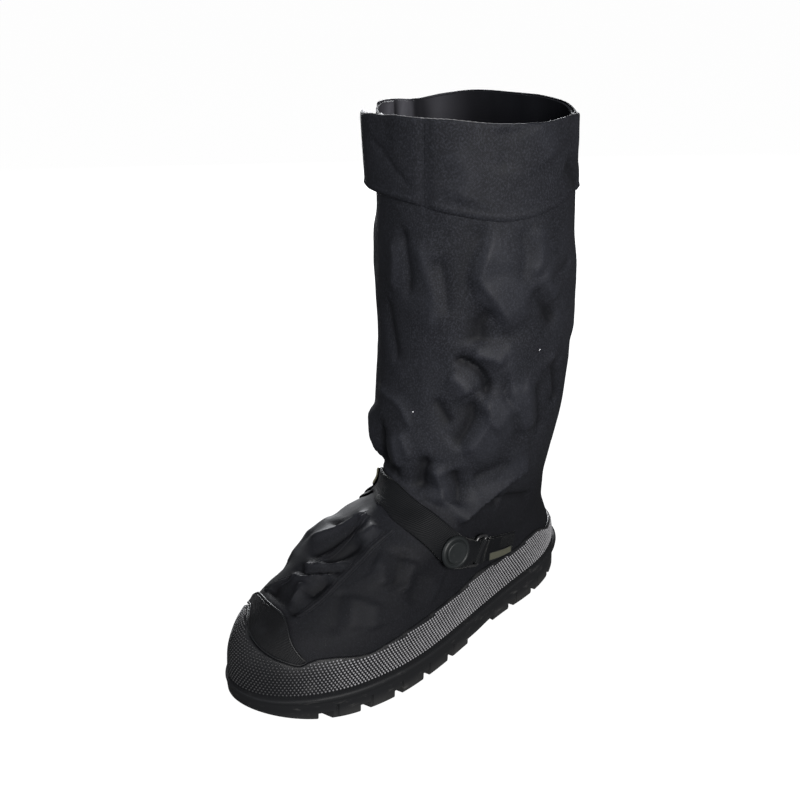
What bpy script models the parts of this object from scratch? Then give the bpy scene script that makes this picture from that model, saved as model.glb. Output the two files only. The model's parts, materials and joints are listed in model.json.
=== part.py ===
"""Tall slip-over overshoe: a slack nylon shaft and vamp on a lugged rubber sole.

Left foot. Toe towards -Y, wearer's left (lateral side) towards +X, +Z up. The origin
lies on the floor under the middle of the sole. Sizes are in millimetres until the
meshes are made, where MM turns them to metres.

Every soft piece comes from one form, the upper's skin. A place on it is given as
around, in degrees of arc length from the middle of the heel (0) past the lateral
side (90) and the toe (180) to the medial side (270), and as height above the floor.
"""

import math
from collections import namedtuple
from functools import lru_cache

import bmesh
import bpy
import numpy as np
from mathutils import Matrix, Vector

MM = 0.001

# Driving sizes of the shoe
SHAFT_TOP = 384.0
CLOTH_WALL = 1.6
FIT_GAP = 0.4
SEAT_GAP = 0.3
ROUND_HEEL = 2.2
ROUND_TOE = 2.0
MEDIAL_WAIST = 5.0
WAIST_FADE = 90.0

# The strap draws the medial side of the instep in: how round its front is there, and how far in
NoseRow = namedtuple("NoseRow", "height round drawn")
MEDIAL_NOSE = (
    NoseRow(80, 2.0, 0.0),
    NoseRow(86, 2.0, 1.6),
    NoseRow(92, 1.95, 4.6),
    NoseRow(94, 1.8, 5.6),
    NoseRow(96, 1.5, 6.8),
    NoseRow(98, 1.34, 8.2),
    NoseRow(102, 1.3, 9.5),
    NoseRow(108, 1.34, 8.0),
    NoseRow(116, 1.52, 4.0),
    NoseRow(126, 1.78, 1.0),
    NoseRow(136, 1.92, 0.0),
    NoseRow(146, 2.0, 0.0),
)
DRAWN_ALONG = 12.0
DRAWN_LENGTH = 24.0

# The upper's level sections: toe and back are the ends along Y, nose and round the
# lengths over which toe and heel round off, ball and heel the half widths, and lean
# the shift of the toe's tip towards the medial side.
Section = namedtuple("Section", "height toe nose ball heel back round lean")
UPPER_SECTIONS = (
    Section(12, -156, 101, 55.5, 44.0, 157.0, 83, -7.5),
    Section(34, -154, 99, 56.5, 45.0, 156.0, 82, -7.5),
    Section(46, -149, 95, 55.5, 45.0, 153.0, 80, -7.5),
    Section(56, -140, 89, 53.5, 44.5, 149.0, 78, -6.0),
    Section(64, -128, 82, 50.5, 44.5, 145.5, 76, -5.0),
    Section(72, -114, 75, 48.0, 45.0, 143.0, 74, -4.5),
    Section(82, -94, 72, 46.5, 46.0, 141.5, 72, -4.0),
    Section(94, -67, 72, 47.0, 48.0, 140.5, 71, -3.0),
    Section(106, -40, 76, 49.0, 50.0, 141.0, 71, -1.0),
    Section(116, -20, 79, 52.0, 52.0, 141.5, 71, 0.0),
    Section(128, -10, 80, 55.5, 55.0, 142.0, 71, 0.0),
    Section(146, -11, 78, 60.0, 60.0, 142.5, 71, 0.0),
    Section(175, -6, 74, 65.0, 65.0, 144.5, 72, -1.0),
    Section(215, -1, 73, 68.0, 68.0, 146.0, 73, 0.0),
    Section(262, 0, 73, 68.5, 68.5, 146.0, 73, 0.0),
    Section(318, 1, 73, 68.0, 68.0, 143.5, 72, 0.0),
    Section(390, 2, 73, 67.0, 67.0, 140.0, 71, 0.0),
)
AROUND_COLUMNS = 72
FOOT_LEVELS = (0.0, 0.35, 0.7)
VAMP_LEVELS = (46, 52, 58, 64, 70, 76, 83, 88, 92, 94, 96, 98, 102, 107, 112, 117, 122, 128, 137, 149)
SHAFT_LEVELS = (165, 190, 225, 270, 325, SHAFT_TOP)

# Height of the outsole's upper edge along the foot, from toe to heel
SoleEdge = namedtuple("SoleEdge", "along height")
SOLE_TOP = (
    SoleEdge(-165, 24.5),
    SoleEdge(-157, 20.5),
    SoleEdge(-150, 20.0),
    SoleEdge(-105, 20.0),
    SoleEdge(-78, 20.5),
    SoleEdge(-35, 19.5),
    SoleEdge(30, 20.3),
    SoleEdge(60, 22.0),
    SoleEdge(89, 24.8),
    SoleEdge(115, 25.5),
    SoleEdge(136, 27.0),
    SoleEdge(165, 28.5),
)
SOLE_STATIONS = 36
SOLE_OVERHANG = 5.2
SOLE_SHIFT = 1.5
SOLE_PLAN_HEIGHT = 20.0
TOE_SPRING = 10.0
SPRING_START = -100.0
SPRING_END = -161.0

# Side of the outsole from its upper edge down: share of the side's height, inset all
# round, and inset added at the heel, where a lip stands over the lower band.
SideStep = namedtuple("SideStep", "down inset heel_inset")
SOLE_SIDE = (
    SideStep(0.0, 1.2, 0.0),
    SideStep(0.06, 0.0, 0.0),
    SideStep(0.18, 0.0, 0.3),
    SideStep(0.24, 0.4, 2.4),
    SideStep(0.90, 1.0, 1.6),
    SideStep(1.0, 1.8, 1.8),
)
HEEL_LIP_FADE = (15.0, 50.0)

# Tread: notches cut in from both edges, and the gap under the arch
LUG_DEPTH = 6.0
NOTCH_WIDTH = 7.5
NOTCH_SLANT = math.radians(14.0)
FOREFOOT_NOTCHES = (-121.0, -97.0, -71.5, -43.5, -15.0)
HEEL_NOTCHES = (70.0, 100.0, 130.0)
ARCH_GAP = (9.0, 46.0)
ARCH_DEPTH = 5.0
TREAD_SPINE = 11.0

INSOLE_THICKNESS = 3.0
INSOLE_INSET = CLOTH_WALL + 1.6
INSOLE_STATIONS = 22

# Rubber rand round the foot: height of its upper edge against the way around
RAND_WALL = 1.6
RAND_ROWS = 6
RandEdge = namedtuple("RandEdge", "around height")
RAND_TOP = (
    RandEdge(0, 44.5),
    RandEdge(14, 44.8),
    RandEdge(24.5, 46.0),
    RandEdge(31, 51.0),
    RandEdge(37, 53.6),
    RandEdge(43, 53.2),
    RandEdge(48, 51.0),
    RandEdge(57, 50.2),
    RandEdge(74.5, 51.6),
    RandEdge(82, 49.8),
    RandEdge(89.5, 47.9),
    RandEdge(105, 47.0),
    RandEdge(117, 45.9),
    RandEdge(125.5, 44.1),
    RandEdge(133.5, 42.0),
    RandEdge(140.5, 43.6),
    RandEdge(146.5, 45.6),
    RandEdge(152, 46.2),
    RandEdge(155, 45.0),
    RandEdge(158.5, 42.4),
    RandEdge(164.5, 44.8),
    RandEdge(175.5, 50.7),
    RandEdge(183, 54.7),
    RandEdge(189.5, 58.0),
    RandEdge(194, 58.6),
    RandEdge(199, 56.4),
    RandEdge(204, 51.8),
    RandEdge(208, 47.4),
    RandEdge(212, 44.0),
    RandEdge(222, 43.0),
    RandEdge(240, 45.5),
    RandEdge(270, 48.0),
    RandEdge(303, 48.6),
    RandEdge(320, 47.0),
    RandEdge(333, 45.0),
    RandEdge(360, 44.5),
)

# Crescent toe cap on the upper edge of the rand
CAP_WALL = 1.8
CAP_SEAT = 0.6
CAP_COLUMNS = 18
CAP_ROWS = 3
CAP_TIP_HEIGHT = 1.6
CapEdge = namedtuple("CapEdge", "around height")
CAP_TOP = (
    CapEdge(156.5, 45.6),
    CapEdge(160, 50.2),
    CapEdge(164, 55.2),
    CapEdge(167.5, 59.8),
    CapEdge(171, 63.7),
    CapEdge(174.5, 66.4),
    CapEdge(178.5, 67.6),
    CapEdge(183, 67.8),
    CapEdge(189, 67.1),
    CapEdge(197, 64.2),
    CapEdge(203, 59.0),
    CapEdge(208, 53.0),
    CapEdge(212, 46.2),
)
CAP_START = CAP_TOP[0].around
CAP_END = CAP_TOP[-1].around

# Raised seams that join the front gusset to the sides
SEAM_WALL = 0.9
SEAM_WIDTH = 7.0
SEAM_COLUMNS = 26
SeamPoint = namedtuple("SeamPoint", "around height")
LATERAL_SEAM = (
    SeamPoint(170.2, 67.2),
    SeamPoint(167.5, 71.3),
    SeamPoint(166.0, 75.6),
    SeamPoint(164.0, 85.7),
    SeamPoint(163.0, 95.7),
    SeamPoint(160.8, 104.0),
)
MEDIAL_SEAM = (
    SeamPoint(199.0, 65.8),
    SeamPoint(190.0, 75.0),
    SeamPoint(185.5, 79.5),
    SeamPoint(183.5, 83.4),
    SeamPoint(181.5, 88.8),
    SeamPoint(180.2, 94.0),
    SeamPoint(181.0, 100.0),
    SeamPoint(182.0, 107.5),
)

# Cuff: a strip wrapped round the collar whose free end stands off at the front
CUFF_WALL = 1.8
CUFF_RISE = 1.0
CUFF_ROWS = 2
CUFF_COLUMNS = 56
CUFF_START = -122.0
CUFF_END = 226.0
CUFF_STEP_AT = 165.0
CUFF_STEP = 1.0
CUFF_HEM_BACK = 321.0
CUFF_HEM_FRONT = 327.5
CUFF_STAND_OFF = 9.0
CUFF_STAND_OFF_HEM = 6.0
CUFF_FREE_FROM = 190.0

# Webbing over the instep: both edges of the strap, a row for each station from the
# anchor on the lateral quarter over the front of the ankle to the medial quarter
WEB_WALL = 1.3
WEB_SEAT = 0.7
StrapRow = namedtuple("StrapRow", "station upper_around upper_height lower_around lower_height")
STRAP_LINE = (
    StrapRow(9, 46.5, 65.5, 47.5, 51.5),
    StrapRow(8, 59, 71.6, 58, 52.0),
    StrapRow(7, 74, 77.5, 71, 56.5),
    StrapRow(6, 84, 83.0, 81.5, 61.5),
    StrapRow(5, 104.8, 90.7, 99, 70.5),
    StrapRow(4, 120, 98.6, 114.5, 82.0),
    StrapRow(3, 136, 106.9, 131, 93.0),
    StrapRow(2, 152, 114.1, 147.5, 101.4),
    StrapRow(1, 168, 121.6, 164, 107.9),
    StrapRow(0, 183, 126.8, 180, 112.2),
    StrapRow(-1, 199, 126.0, 198, 111.5),
    StrapRow(-2, 215, 119.5, 215.5, 105.0),
    StrapRow(-3, 233.5, 109.5, 238, 93.5),
    StrapRow(-4, 249, 99.5, 254, 82.5),
    StrapRow(-5, 262, 91.0, 267, 71.5),
    StrapRow(-6, 276, 83.0, 278.5, 61.5),
    StrapRow(-7, 286, 77.5, 289, 56.5),
    StrapRow(-8, 301, 70.0, 302, 51.5),
    StrapRow(-9, 313.5, 62.5, 312.5, 50.5),
)
STRAP_ROWS = 64
STRAP_ACROSS = 6
STRAP_END_ROUND = 0.6

# Lift of the strap's lower face off the upper, where it climbs on to the keeper
Lift = namedtuple("Lift", "station lift")
STRAP_LIFT = (
    Lift(-8.5, 0.4),
    Lift(-5.2, 0.6),
    Lift(-4.2, 1.0),
    Lift(-2.4, 1.0),
    Lift(-1.0, 0.8),
    Lift(1.2, 0.8),
    Lift(2.3, 3.0),
    Lift(3.85, 3.1),
    Lift(5.38, 8.0),
    Lift(5.7, 8.0),
)
TAIL_LIFT = (
    Lift(-5.6, 2.7),
    Lift(-4.2, 3.3),
    Lift(-3.2, 3.4),
    Lift(-2.4, 3.9),
    Lift(-1.7, 5.8),
)
TAIL_ROWS = 20

# Wire ring on the lateral side, and the webbing looped through its two long bars
RING_STATION = 5.9
RING_ROD = 2.4
RING_LENGTH = 13.0
RING_HEIGHT = 27.0
RING_CORNER = 2.2
LOOP_RADIUS = RING_ROD / 2 + 0.9 + WEB_WALL
LOOP_STEPS = 9
LOOP_WIDTH = 0.78
KEEPER_START = 2.9
KEEPER_RETURN = 4.45
TAB_END = 8.5
TAB_RETURN = 7.6

# Snap on the strap's end: its half section as radius and height
BUTTON_STATION = 4.45
BUTTON_STEPS = 22
TurnPoint = namedtuple("TurnPoint", "radius height")
BUTTON_PROFILE = (
    TurnPoint(0.0, 0.0),
    TurnPoint(12.0, 0.0),
    TurnPoint(12.4, 0.7),
    TurnPoint(11.8, 1.9),
    TurnPoint(10.2, 2.6),
    TurnPoint(9.2, 1.9),
    TurnPoint(8.6, 1.9),
    TurnPoint(8.3, 2.9),
    TurnPoint(7.6, 3.3),
    TurnPoint(0.0, 3.5),
)


def smooth(keys, table, at):
    """Row of a table at a place between its rows, by a cubic that never overshoots."""
    keys = np.asarray(keys, float)
    table = np.asarray(table, float).reshape(len(keys), -1)
    rise = np.diff(table, axis=0) / np.diff(keys)[:, None]
    product = rise[:-1] * rise[1:]
    total = rise[:-1] + rise[1:]
    same_way = product > 0
    inner = np.where(same_way, 2 * product / np.where(same_way, total, 1.0), 0.0)
    slope = np.vstack([rise[:1], inner, rise[-1:]])
    at = min(max(at, keys[0]), keys[-1])
    i = min(max(int(np.searchsorted(keys, at)) - 1, 0), len(keys) - 2)
    span = keys[i + 1] - keys[i]
    t = (at - keys[i]) / span
    start = (2 * t**3 - 3 * t**2 + 1) * table[i] + (t**3 - 2 * t**2 + t) * span * slope[i]
    end = (3 * t**2 - 2 * t**3) * table[i + 1] + (t**3 - t**2) * span * slope[i + 1]
    return start + end


def ease(t):
    """Smooth step from 0 to 1."""
    t = np.clip(t, 0.0, 1.0)
    return t * t * (3 - 2 * t)


def section_at(height):
    """The upper's level section at a height."""
    heights = [row.height for row in UPPER_SECTIONS]
    return Section(height, *smooth(heights, [row[1:] for row in UPPER_SECTIONS], height))


def medial_nose(height):
    """How round the front of the medial side is at a height, and how far in it is drawn."""
    return smooth([row.height for row in MEDIAL_NOSE], [row[1:] for row in MEDIAL_NOSE], height).ravel()


def half_width(section, y, side):
    """Half width of a section at places along Y on one side, +1 lateral or -1 medial."""
    from_back = section.back - y
    from_toe = y - section.toe
    heel_turn = np.clip(1 - from_back / section.round, 0, 1)
    toe_turn = np.clip(1 - from_toe / section.nose, 0, 1)
    middle = section.back - section.toe - section.round - section.nose
    share = np.clip((from_back - section.round) / max(middle, 1.0), 0, 1)
    width = section.heel + (section.ball - section.heel) * ease(share)
    nose_round = ROUND_TOE
    if side < 0:
        fade = max(0.0, 1 - section.height / WAIST_FADE)
        nose_round, drawn = medial_nose(section.height)
        near = np.exp(-(((y - DRAWN_ALONG) / DRAWN_LENGTH) ** 2))
        width = width - MEDIAL_WAIST * fade * np.sin(np.pi * share) ** 2 - drawn * near
    width = width * (1 - heel_turn**ROUND_HEEL) ** (1 / ROUND_HEEL)
    return width * (1 - toe_turn**nose_round) ** (1 / nose_round)


def side_line(section, side, count):
    """Points in plan from the middle of the back along one side to the toe's tip."""
    share = (1 - np.cos(np.linspace(0, np.pi, count))) / 2
    y = section.back + (section.toe - section.back) * share
    toe_turn = np.clip(1 - (y - section.toe) / section.nose, 0, 1)
    x = section.lean * toe_turn**2 + side * half_width(section, y, side)
    return np.stack([x, y], axis=1)


@lru_cache(maxsize=None)
def measured_line(height, side):
    """A side line of the upper with the share of its length at each point."""
    line = side_line(section_at(height), side, 180)
    length = np.concatenate([[0], np.cumsum(np.linalg.norm(np.diff(line, axis=0), axis=1))])
    return line, length / length[-1]


def skin_point(around, height):
    """Point of the upper's outer face."""
    around = around % 360
    side = 1 if around <= 180 else -1
    share = around / 180 if side > 0 else (360 - around) / 180
    line, length = measured_line(round(float(height), 3), side)
    x = np.interp(share, length, line[:, 0])
    y = np.interp(share, length, line[:, 1])
    return np.array([x, y, height])


def skin_normal(around, height):
    """Outward direction of the upper's outer face."""
    across = skin_point(around + 1.5, height) - skin_point(around - 1.5, height)
    rise = skin_point(around, height + 1.0) - skin_point(around, height - 1.0)
    normal = np.cross(rise, across)
    return normal / np.linalg.norm(normal)


def skin(around, height, lift=0.0):
    """Point that stands a given distance off the upper's outer face."""
    return skin_point(around, height) + lift * skin_normal(around, height)


def sole_top(y):
    """Height of the outsole's upper face at a place along Y."""
    rows = sorted(SOLE_TOP)
    return float(smooth([row.along for row in rows], [row.height for row in rows], y)[0])


def sole_bottom(y):
    """Height of the tread at a place along Y: flat, then rising with the toe spring."""
    share = max(0.0, (SPRING_START - y) / (SPRING_START - SPRING_END))
    return TOE_SPRING * share**2


def foot_edge(around, lift=0.0):
    """Height where the upper, or a piece that stands off it, meets the outsole."""
    height = SOLE_PLAN_HEIGHT
    for _ in range(4):
        height = sole_top(skin(around, height, lift)[1]) + SEAT_GAP
    return height


def make_material(name, colour, roughness, metallic=0.0):
    """Plain finish of one piece."""
    material = bpy.data.materials.new(name)
    material.use_nodes = True
    shader = material.node_tree.nodes["Principled BSDF"]
    shader.inputs["Base Color"].default_value = (*colour, 1.0)
    shader.inputs["Roughness"].default_value = roughness
    shader.inputs["Metallic"].default_value = metallic
    return material


def make_object(name, mesh, material, collection):
    """Object with a finish, in its collection."""
    obj = bpy.data.objects.new(name, mesh)
    mesh.materials.append(material)
    collection.objects.link(obj)
    return obj


def loft_mesh(name, rows, closed):
    """Open sheet through rows of points; closed joins each row's ends."""
    rows = np.asarray(rows, float)
    count, width = rows.shape[:2]
    faces = []
    for r in range(count - 1):
        for c in range(width if closed else width - 1):
            d = (c + 1) % width
            faces.append((r * width + c, (r + 1) * width + c, (r + 1) * width + d, r * width + d))
    mesh = bpy.data.meshes.new(name)
    mesh.from_pydata((rows.reshape(-1, 3) * MM).tolist(), [], faces)
    mesh.shade_smooth()
    return mesh


def add_wall(obj, thickness, outward):
    """Gives a sheet its wall, on its outer or its inner side."""
    wall = obj.modifiers.new("wall", "SOLIDIFY")
    wall.thickness = thickness * MM
    wall.offset = 1.0 if outward else -1.0
    wall.use_even_offset = True
    wall.use_quality_normals = True


def make_upper(collection, material):
    """Vamp, quarters and shaft as one hollow wall, open at the collar and the floor."""
    columns = np.arange(AROUND_COLUMNS) * 360 / AROUND_COLUMNS
    edges = [foot_edge(a) for a in columns]
    rows = []
    for share in FOOT_LEVELS:
        rows.append([skin(a, e + share * (VAMP_LEVELS[0] - e)) for a, e in zip(columns, edges)])
    for height in VAMP_LEVELS + SHAFT_LEVELS:
        rows.append([skin(a, height) for a in columns])
    obj = make_object("upper", loft_mesh("upper", rows, closed=True), material, collection)
    add_wall(obj, CLOTH_WALL, outward=False)
    return obj


def rand_top(around):
    """Height of the rand's upper edge."""
    return float(smooth([row.around for row in RAND_TOP], [row.height for row in RAND_TOP], around % 360)[0])


def rand_edge(around):
    """Height of the rand's upper edge as its columns draw it, straight between them."""
    step = 360 / AROUND_COLUMNS
    column = math.floor(around / step)
    share = around / step - column
    return (1 - share) * rand_top(column * step) + share * rand_top((column + 1) * step)


def make_rand(collection, material):
    """Rubber band that covers the joint of upper and outsole."""
    columns = np.arange(AROUND_COLUMNS) * 360 / AROUND_COLUMNS
    rows = []
    for r in range(RAND_ROWS + 1):
        share = r / RAND_ROWS
        row = []
        for a in columns:
            low = max(foot_edge(a), foot_edge(a, FIT_GAP + RAND_WALL))
            row.append(skin(a, low + share * (rand_top(a) - low), FIT_GAP))
        rows.append(row)
    obj = make_object("rand", loft_mesh("rand", rows, closed=True), material, collection)
    add_wall(obj, RAND_WALL, outward=True)
    return obj


def make_toe_cap(collection, material):
    """Crescent over the toe, from the rand's edge up on to the vamp."""
    keys = [row.around for row in CAP_TOP]
    tops = [row.height for row in CAP_TOP]
    rows = []
    for r in range(CAP_ROWS + 1):
        row = []
        for around in np.linspace(CAP_START, CAP_END, CAP_COLUMNS + 1):
            low = rand_edge(around) + CAP_SEAT
            high = max(float(smooth(keys, tops, around)[0]), low + CAP_TIP_HEIGHT)
            row.append(skin(around, low + (high - low) * r / CAP_ROWS, FIT_GAP))
        rows.append(row)
    obj = make_object("toe_cap", loft_mesh("toe_cap", rows, closed=False), material, collection)
    add_wall(obj, CAP_WALL, outward=True)
    return obj


def make_gusset_seam(name, seam, collection, material):
    """Raised fold of a felled seam along one edge of the front gusset."""
    heights = [row.height for row in seam]
    places = [row.around for row in seam]
    rows = [[], [], []]
    for height in np.linspace(heights[0], heights[-1], SEAM_COLUMNS):
        middle = float(smooth(heights, places, height)[0])
        arc = np.linalg.norm(skin_point(middle + 1, height) - skin_point(middle, height))
        for row, edge in zip(rows, (0.5, 0.0, -0.5)):
            row.append(skin(middle + edge * SEAM_WIDTH / arc, height, FIT_GAP))
    obj = make_object(name, loft_mesh(name, rows, closed=False), material, collection)
    add_wall(obj, SEAM_WALL, outward=True)
    return obj


def cuff_lift(around, height):
    """How far the cuff stands off the shaft: a lapped edge, and a loose end in front."""
    lift = FIT_GAP
    if CUFF_START <= around < CUFF_STEP_AT:
        lift += CUFF_STEP * ease((around - CUFF_START) / (CUFF_STEP_AT - CUFF_START))
    free = ease((around - CUFF_FREE_FROM) / (CUFF_END - CUFF_FREE_FROM))
    up = (height - CUFF_HEM_FRONT) / (SHAFT_TOP - CUFF_HEM_FRONT)
    return lift + free * (CUFF_STAND_OFF_HEM + up * (CUFF_STAND_OFF - CUFF_STAND_OFF_HEM))


def make_cuff(collection, material):
    """Strip wrapped round the top of the shaft, fastened on itself in front."""
    columns = list(np.linspace(CUFF_START, CUFF_END, CUFF_COLUMNS))
    columns += [CUFF_STEP_AT - 1.0, CUFF_STEP_AT]
    rows = []
    for r in range(CUFF_ROWS + 1):
        row = []
        for a in sorted(columns):
            hem = CUFF_HEM_BACK if a < CUFF_STEP_AT else CUFF_HEM_FRONT
            height = hem + (SHAFT_TOP + CUFF_RISE - hem) * r / CUFF_ROWS
            row.append(skin(a, height, cuff_lift(a, height)))
        rows.append(row)
    obj = make_object("cuff", loft_mesh("cuff", rows, closed=False), material, collection)
    add_wall(obj, CUFF_WALL, outward=True)
    return obj


def strap_place(station, across):
    """Around and height on the strap's line; across runs from -1 (low edge) to 1."""
    rows = STRAP_LINE[::-1]
    row = StrapRow(station, *smooth([row.station for row in rows], [row[1:] for row in rows], station))
    share = (across + 1) / 2
    around = row.lower_around + share * (row.upper_around - row.lower_around)
    height = row.lower_height + share * (row.upper_height - row.lower_height)
    return around, height


def strap_point(station, across, lift):
    """Point over the strap's line, a given distance off the upper."""
    around, height = strap_place(station, across)
    return skin(around, height, lift)


def make_ribbon(name, path, collection, material, end_round=0.0, width=1.0):
    """Webbing whose lower face follows a path of stations and lifts.

    Where the path doubles back, the wall stays on the inner side of the turn. With
    end_round the last end is rounded, by that many stations at its corners. width is
    a share of the strap's own.
    """
    stations, lifts = zip(*path)
    rows = []
    for i in range(STRAP_ACROSS + 1):
        across = 1 - 2 * i / STRAP_ACROSS
        corner = end_round * (1 - math.sqrt(1 - across**2))
        row = []
        for k, (station, lift) in enumerate(path):
            if corner:
                station = station - corner * (k / (len(path) - 1)) ** 8
                lift = np.interp(station, stations, lifts)
            row.append(strap_point(station, width * across, lift))
        rows.append(row)
    obj = make_object(name, loft_mesh(name, rows, closed=False), material, collection)
    add_wall(obj, WEB_WALL, outward=True)
    return obj


def lift_path(table, count):
    """Even steps along a table of lifts."""
    stations = np.linspace(table[0].station, table[-1].station, count)
    lifts = np.interp(stations, [row.station for row in table], [row.lift for row in table])
    return list(zip(stations, lifts))


def station_length(station):
    """Millimetres per station at a place along the strap's line."""
    ahead = strap_point(station - 0.1, 0, 0)
    behind = strap_point(station + 0.1, 0, 0)
    return float(np.linalg.norm(behind - ahead)) / 0.2


def loop_path(bar, start, finish, way):
    """Webbing from start round a bar of the ring and back over itself to finish.

    way is 1 where the loop opens towards the front of the ankle and -1 where it
    opens towards the heel.
    """
    scale = station_length(bar)
    outer = WEB_SEAT + 2 * WEB_WALL + FIT_GAP
    peak = WEB_SEAT + 2 * LOOP_RADIUS
    centre = WEB_SEAT + LOOP_RADIUS
    path = [(s, WEB_SEAT) for s in np.linspace(start, bar - way * 0.1, 10)]
    for angle in np.linspace(-math.pi / 2, math.pi / 2, LOOP_STEPS):
        along = bar + way * LOOP_RADIUS * math.cos(angle) / scale
        path.append((along, centre + LOOP_RADIUS * math.sin(angle)))
    path.append((bar - way * 0.30, peak - 0.35 * (peak - outer)))
    path.append((bar - way * 0.65, outer))
    path.append((finish, outer))
    return path if way > 0 else path[::-1]


def ring_bars():
    """Stations of the ring's front and rear bars."""
    half = (RING_LENGTH - RING_ROD) / 2 / station_length(RING_STATION)
    return RING_STATION - half, RING_STATION + half


def make_ring(collection, material):
    """Rectangular loop of round wire that lies over the strap's line."""
    scale = station_length(RING_STATION)
    half_width = np.linalg.norm(strap_point(RING_STATION, 1, 0) - strap_point(RING_STATION, -1, 0)) / 2
    reach_along = (RING_LENGTH - RING_ROD) / 2 - RING_CORNER
    reach_across = (RING_HEIGHT - RING_ROD) / 2 - RING_CORNER
    outline = []
    for sign_along, sign_across, begin in ((1, 1, 0), (-1, 1, 90), (-1, -1, 180), (1, -1, 270)):
        for degrees in np.linspace(begin, begin + 90, 4):
            along = sign_along * reach_along + RING_CORNER * math.cos(math.radians(degrees))
            across = sign_across * reach_across + RING_CORNER * math.sin(math.radians(degrees))
            outline.append((along, across))
        if sign_along == -sign_across:
            bar_along = sign_along * (reach_along + RING_CORNER)
            outline += [(bar_along, sign_across * share * reach_across) for share in (0.5, 0.0, -0.5)]
    points = []
    for along, across in outline:
        place = (RING_STATION + along / scale, across / half_width)
        points.append(strap_point(*place, WEB_SEAT + LOOP_RADIUS))
    curve = bpy.data.curves.new("strap_ring", "CURVE")
    curve.dimensions = "3D"
    curve.bevel_depth = RING_ROD / 2 * MM
    curve.bevel_resolution = 2
    spline = curve.splines.new("POLY")
    spline.points.add(len(points) - 1)
    for place, point in zip(spline.points, points):
        place.co = (*(point * MM), 1.0)
    spline.use_cyclic_u = True
    return make_object("strap_ring", curve, material, collection)


def make_button(strap_path, collection, material):
    """Round snap that rests on the strap's outer face, over the keeper."""
    stations, lifts = zip(*strap_path)

    def strap_face(station, across):
        lift = np.interp(station, stations, lifts) + WEB_WALL
        return Vector(strap_point(station, across, lift))

    centre = strap_face(BUTTON_STATION, 0)
    back = strap_face(BUTTON_STATION + 0.7, 0) - strap_face(BUTTON_STATION - 0.7, 0)
    rise = strap_face(BUTTON_STATION, 0.8) - strap_face(BUTTON_STATION, -0.8)
    axis = rise.cross(-back).normalized()
    reach = max(point.radius for point in BUTTON_PROFILE)
    height = 0.0
    for station in np.linspace(BUTTON_STATION - 0.8, BUTTON_STATION + 0.8, 33):
        for across in np.linspace(-1, 1, 11):
            point = strap_face(station, across) - centre
            if (point - axis * point.dot(axis)).length < reach + 0.5:
                height = max(height, point.dot(axis))
    seat = centre + axis * (height + SEAT_GAP)
    turn = axis.to_track_quat("Z", "Y").to_matrix().to_4x4()
    mesh = bpy.data.meshes.new("snap_button")
    shape = bmesh.new()
    ring_points = []
    for point in BUTTON_PROFILE:
        count = 1 if point.radius == 0 else BUTTON_STEPS
        angles = [2 * math.pi * k / count for k in range(count)]
        corners = [(point.radius * math.cos(a), point.radius * math.sin(a), point.height) for a in angles]
        ring_points.append([shape.verts.new(corner) for corner in corners])
    for low, high in zip(ring_points, ring_points[1:]):
        for k in range(BUTTON_STEPS):
            ends = (low[k % len(low)], low[(k + 1) % len(low)])
            tops = (high[(k + 1) % len(high)], high[k % len(high)])
            shape.faces.new(dict.fromkeys(ends + tops))
    bmesh.ops.recalc_face_normals(shape, faces=shape.faces)
    bmesh.ops.transform(shape, matrix=Matrix.Translation(seat) @ turn, verts=shape.verts)
    bmesh.ops.scale(shape, vec=(MM, MM, MM), verts=shape.verts)
    shape.to_mesh(mesh)
    shape.free()
    return make_object("snap_button", mesh, material, collection)


def grown(section, grow):
    """A section made larger all round."""
    return Section(
        section.height,
        section.toe - grow,
        section.nose + grow,
        section.ball + grow,
        section.heel + grow,
        section.back + grow,
        section.round + grow,
        section.lean,
    )


def plan_ring(grow, heel_inset, shift, count):
    """Level outline with matching places along Y on both sides, as two lists of x, y.

    heel_inset draws the outline in under the heel only; shift moves it along X.
    """
    base = section_at(SOLE_PLAN_HEIGHT)
    back = base.back + grow - heel_inset
    toe = base.toe - grow
    share = (1 - np.cos(np.linspace(0, np.pi, count))) / 2
    sides = {1: [], -1: []}
    for y in back + (toe - back) * share:
        fade = ease((y - HEEL_LIP_FADE[0]) / (HEEL_LIP_FADE[1] - HEEL_LIP_FADE[0]))
        local = grown(base, grow - heel_inset * fade)
        toe_turn = min(max(1 - (y - local.toe) / local.nose, 0.0), 1.0)
        for side, line in sides.items():
            width = float(half_width(local, y, side))
            line.append((shift + local.lean * toe_turn**2 + side * width, y))
    return sides


def stack_mesh(name, rings):
    """Closed body through level rings, each a pair of side lines with heights added."""
    shape = bmesh.new()
    loops = []
    for ring in rings:
        lateral = [shape.verts.new(np.array(point) * MM) for point in ring[1]]
        medial = [shape.verts.new(np.array(point) * MM) for point in ring[-1][1:-1]]
        loops.append((lateral, [lateral[0]] + medial + [lateral[-1]]))
    for upper, lower in zip(loops, loops[1:]):
        for high, low in zip(upper, lower):
            for k in range(len(high) - 1):
                shape.faces.new((high[k], high[k + 1], low[k + 1], low[k]))
    for lateral, medial in (loops[0], loops[-1]):
        for k in range(len(lateral) - 1):
            corners = (lateral[k], lateral[k + 1], medial[k + 1], medial[k])
            shape.faces.new(dict.fromkeys(corners))
    bmesh.ops.recalc_face_normals(shape, faces=shape.faces)
    mesh = bpy.data.meshes.new(name)
    shape.to_mesh(mesh)
    shape.free()
    return mesh


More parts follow.
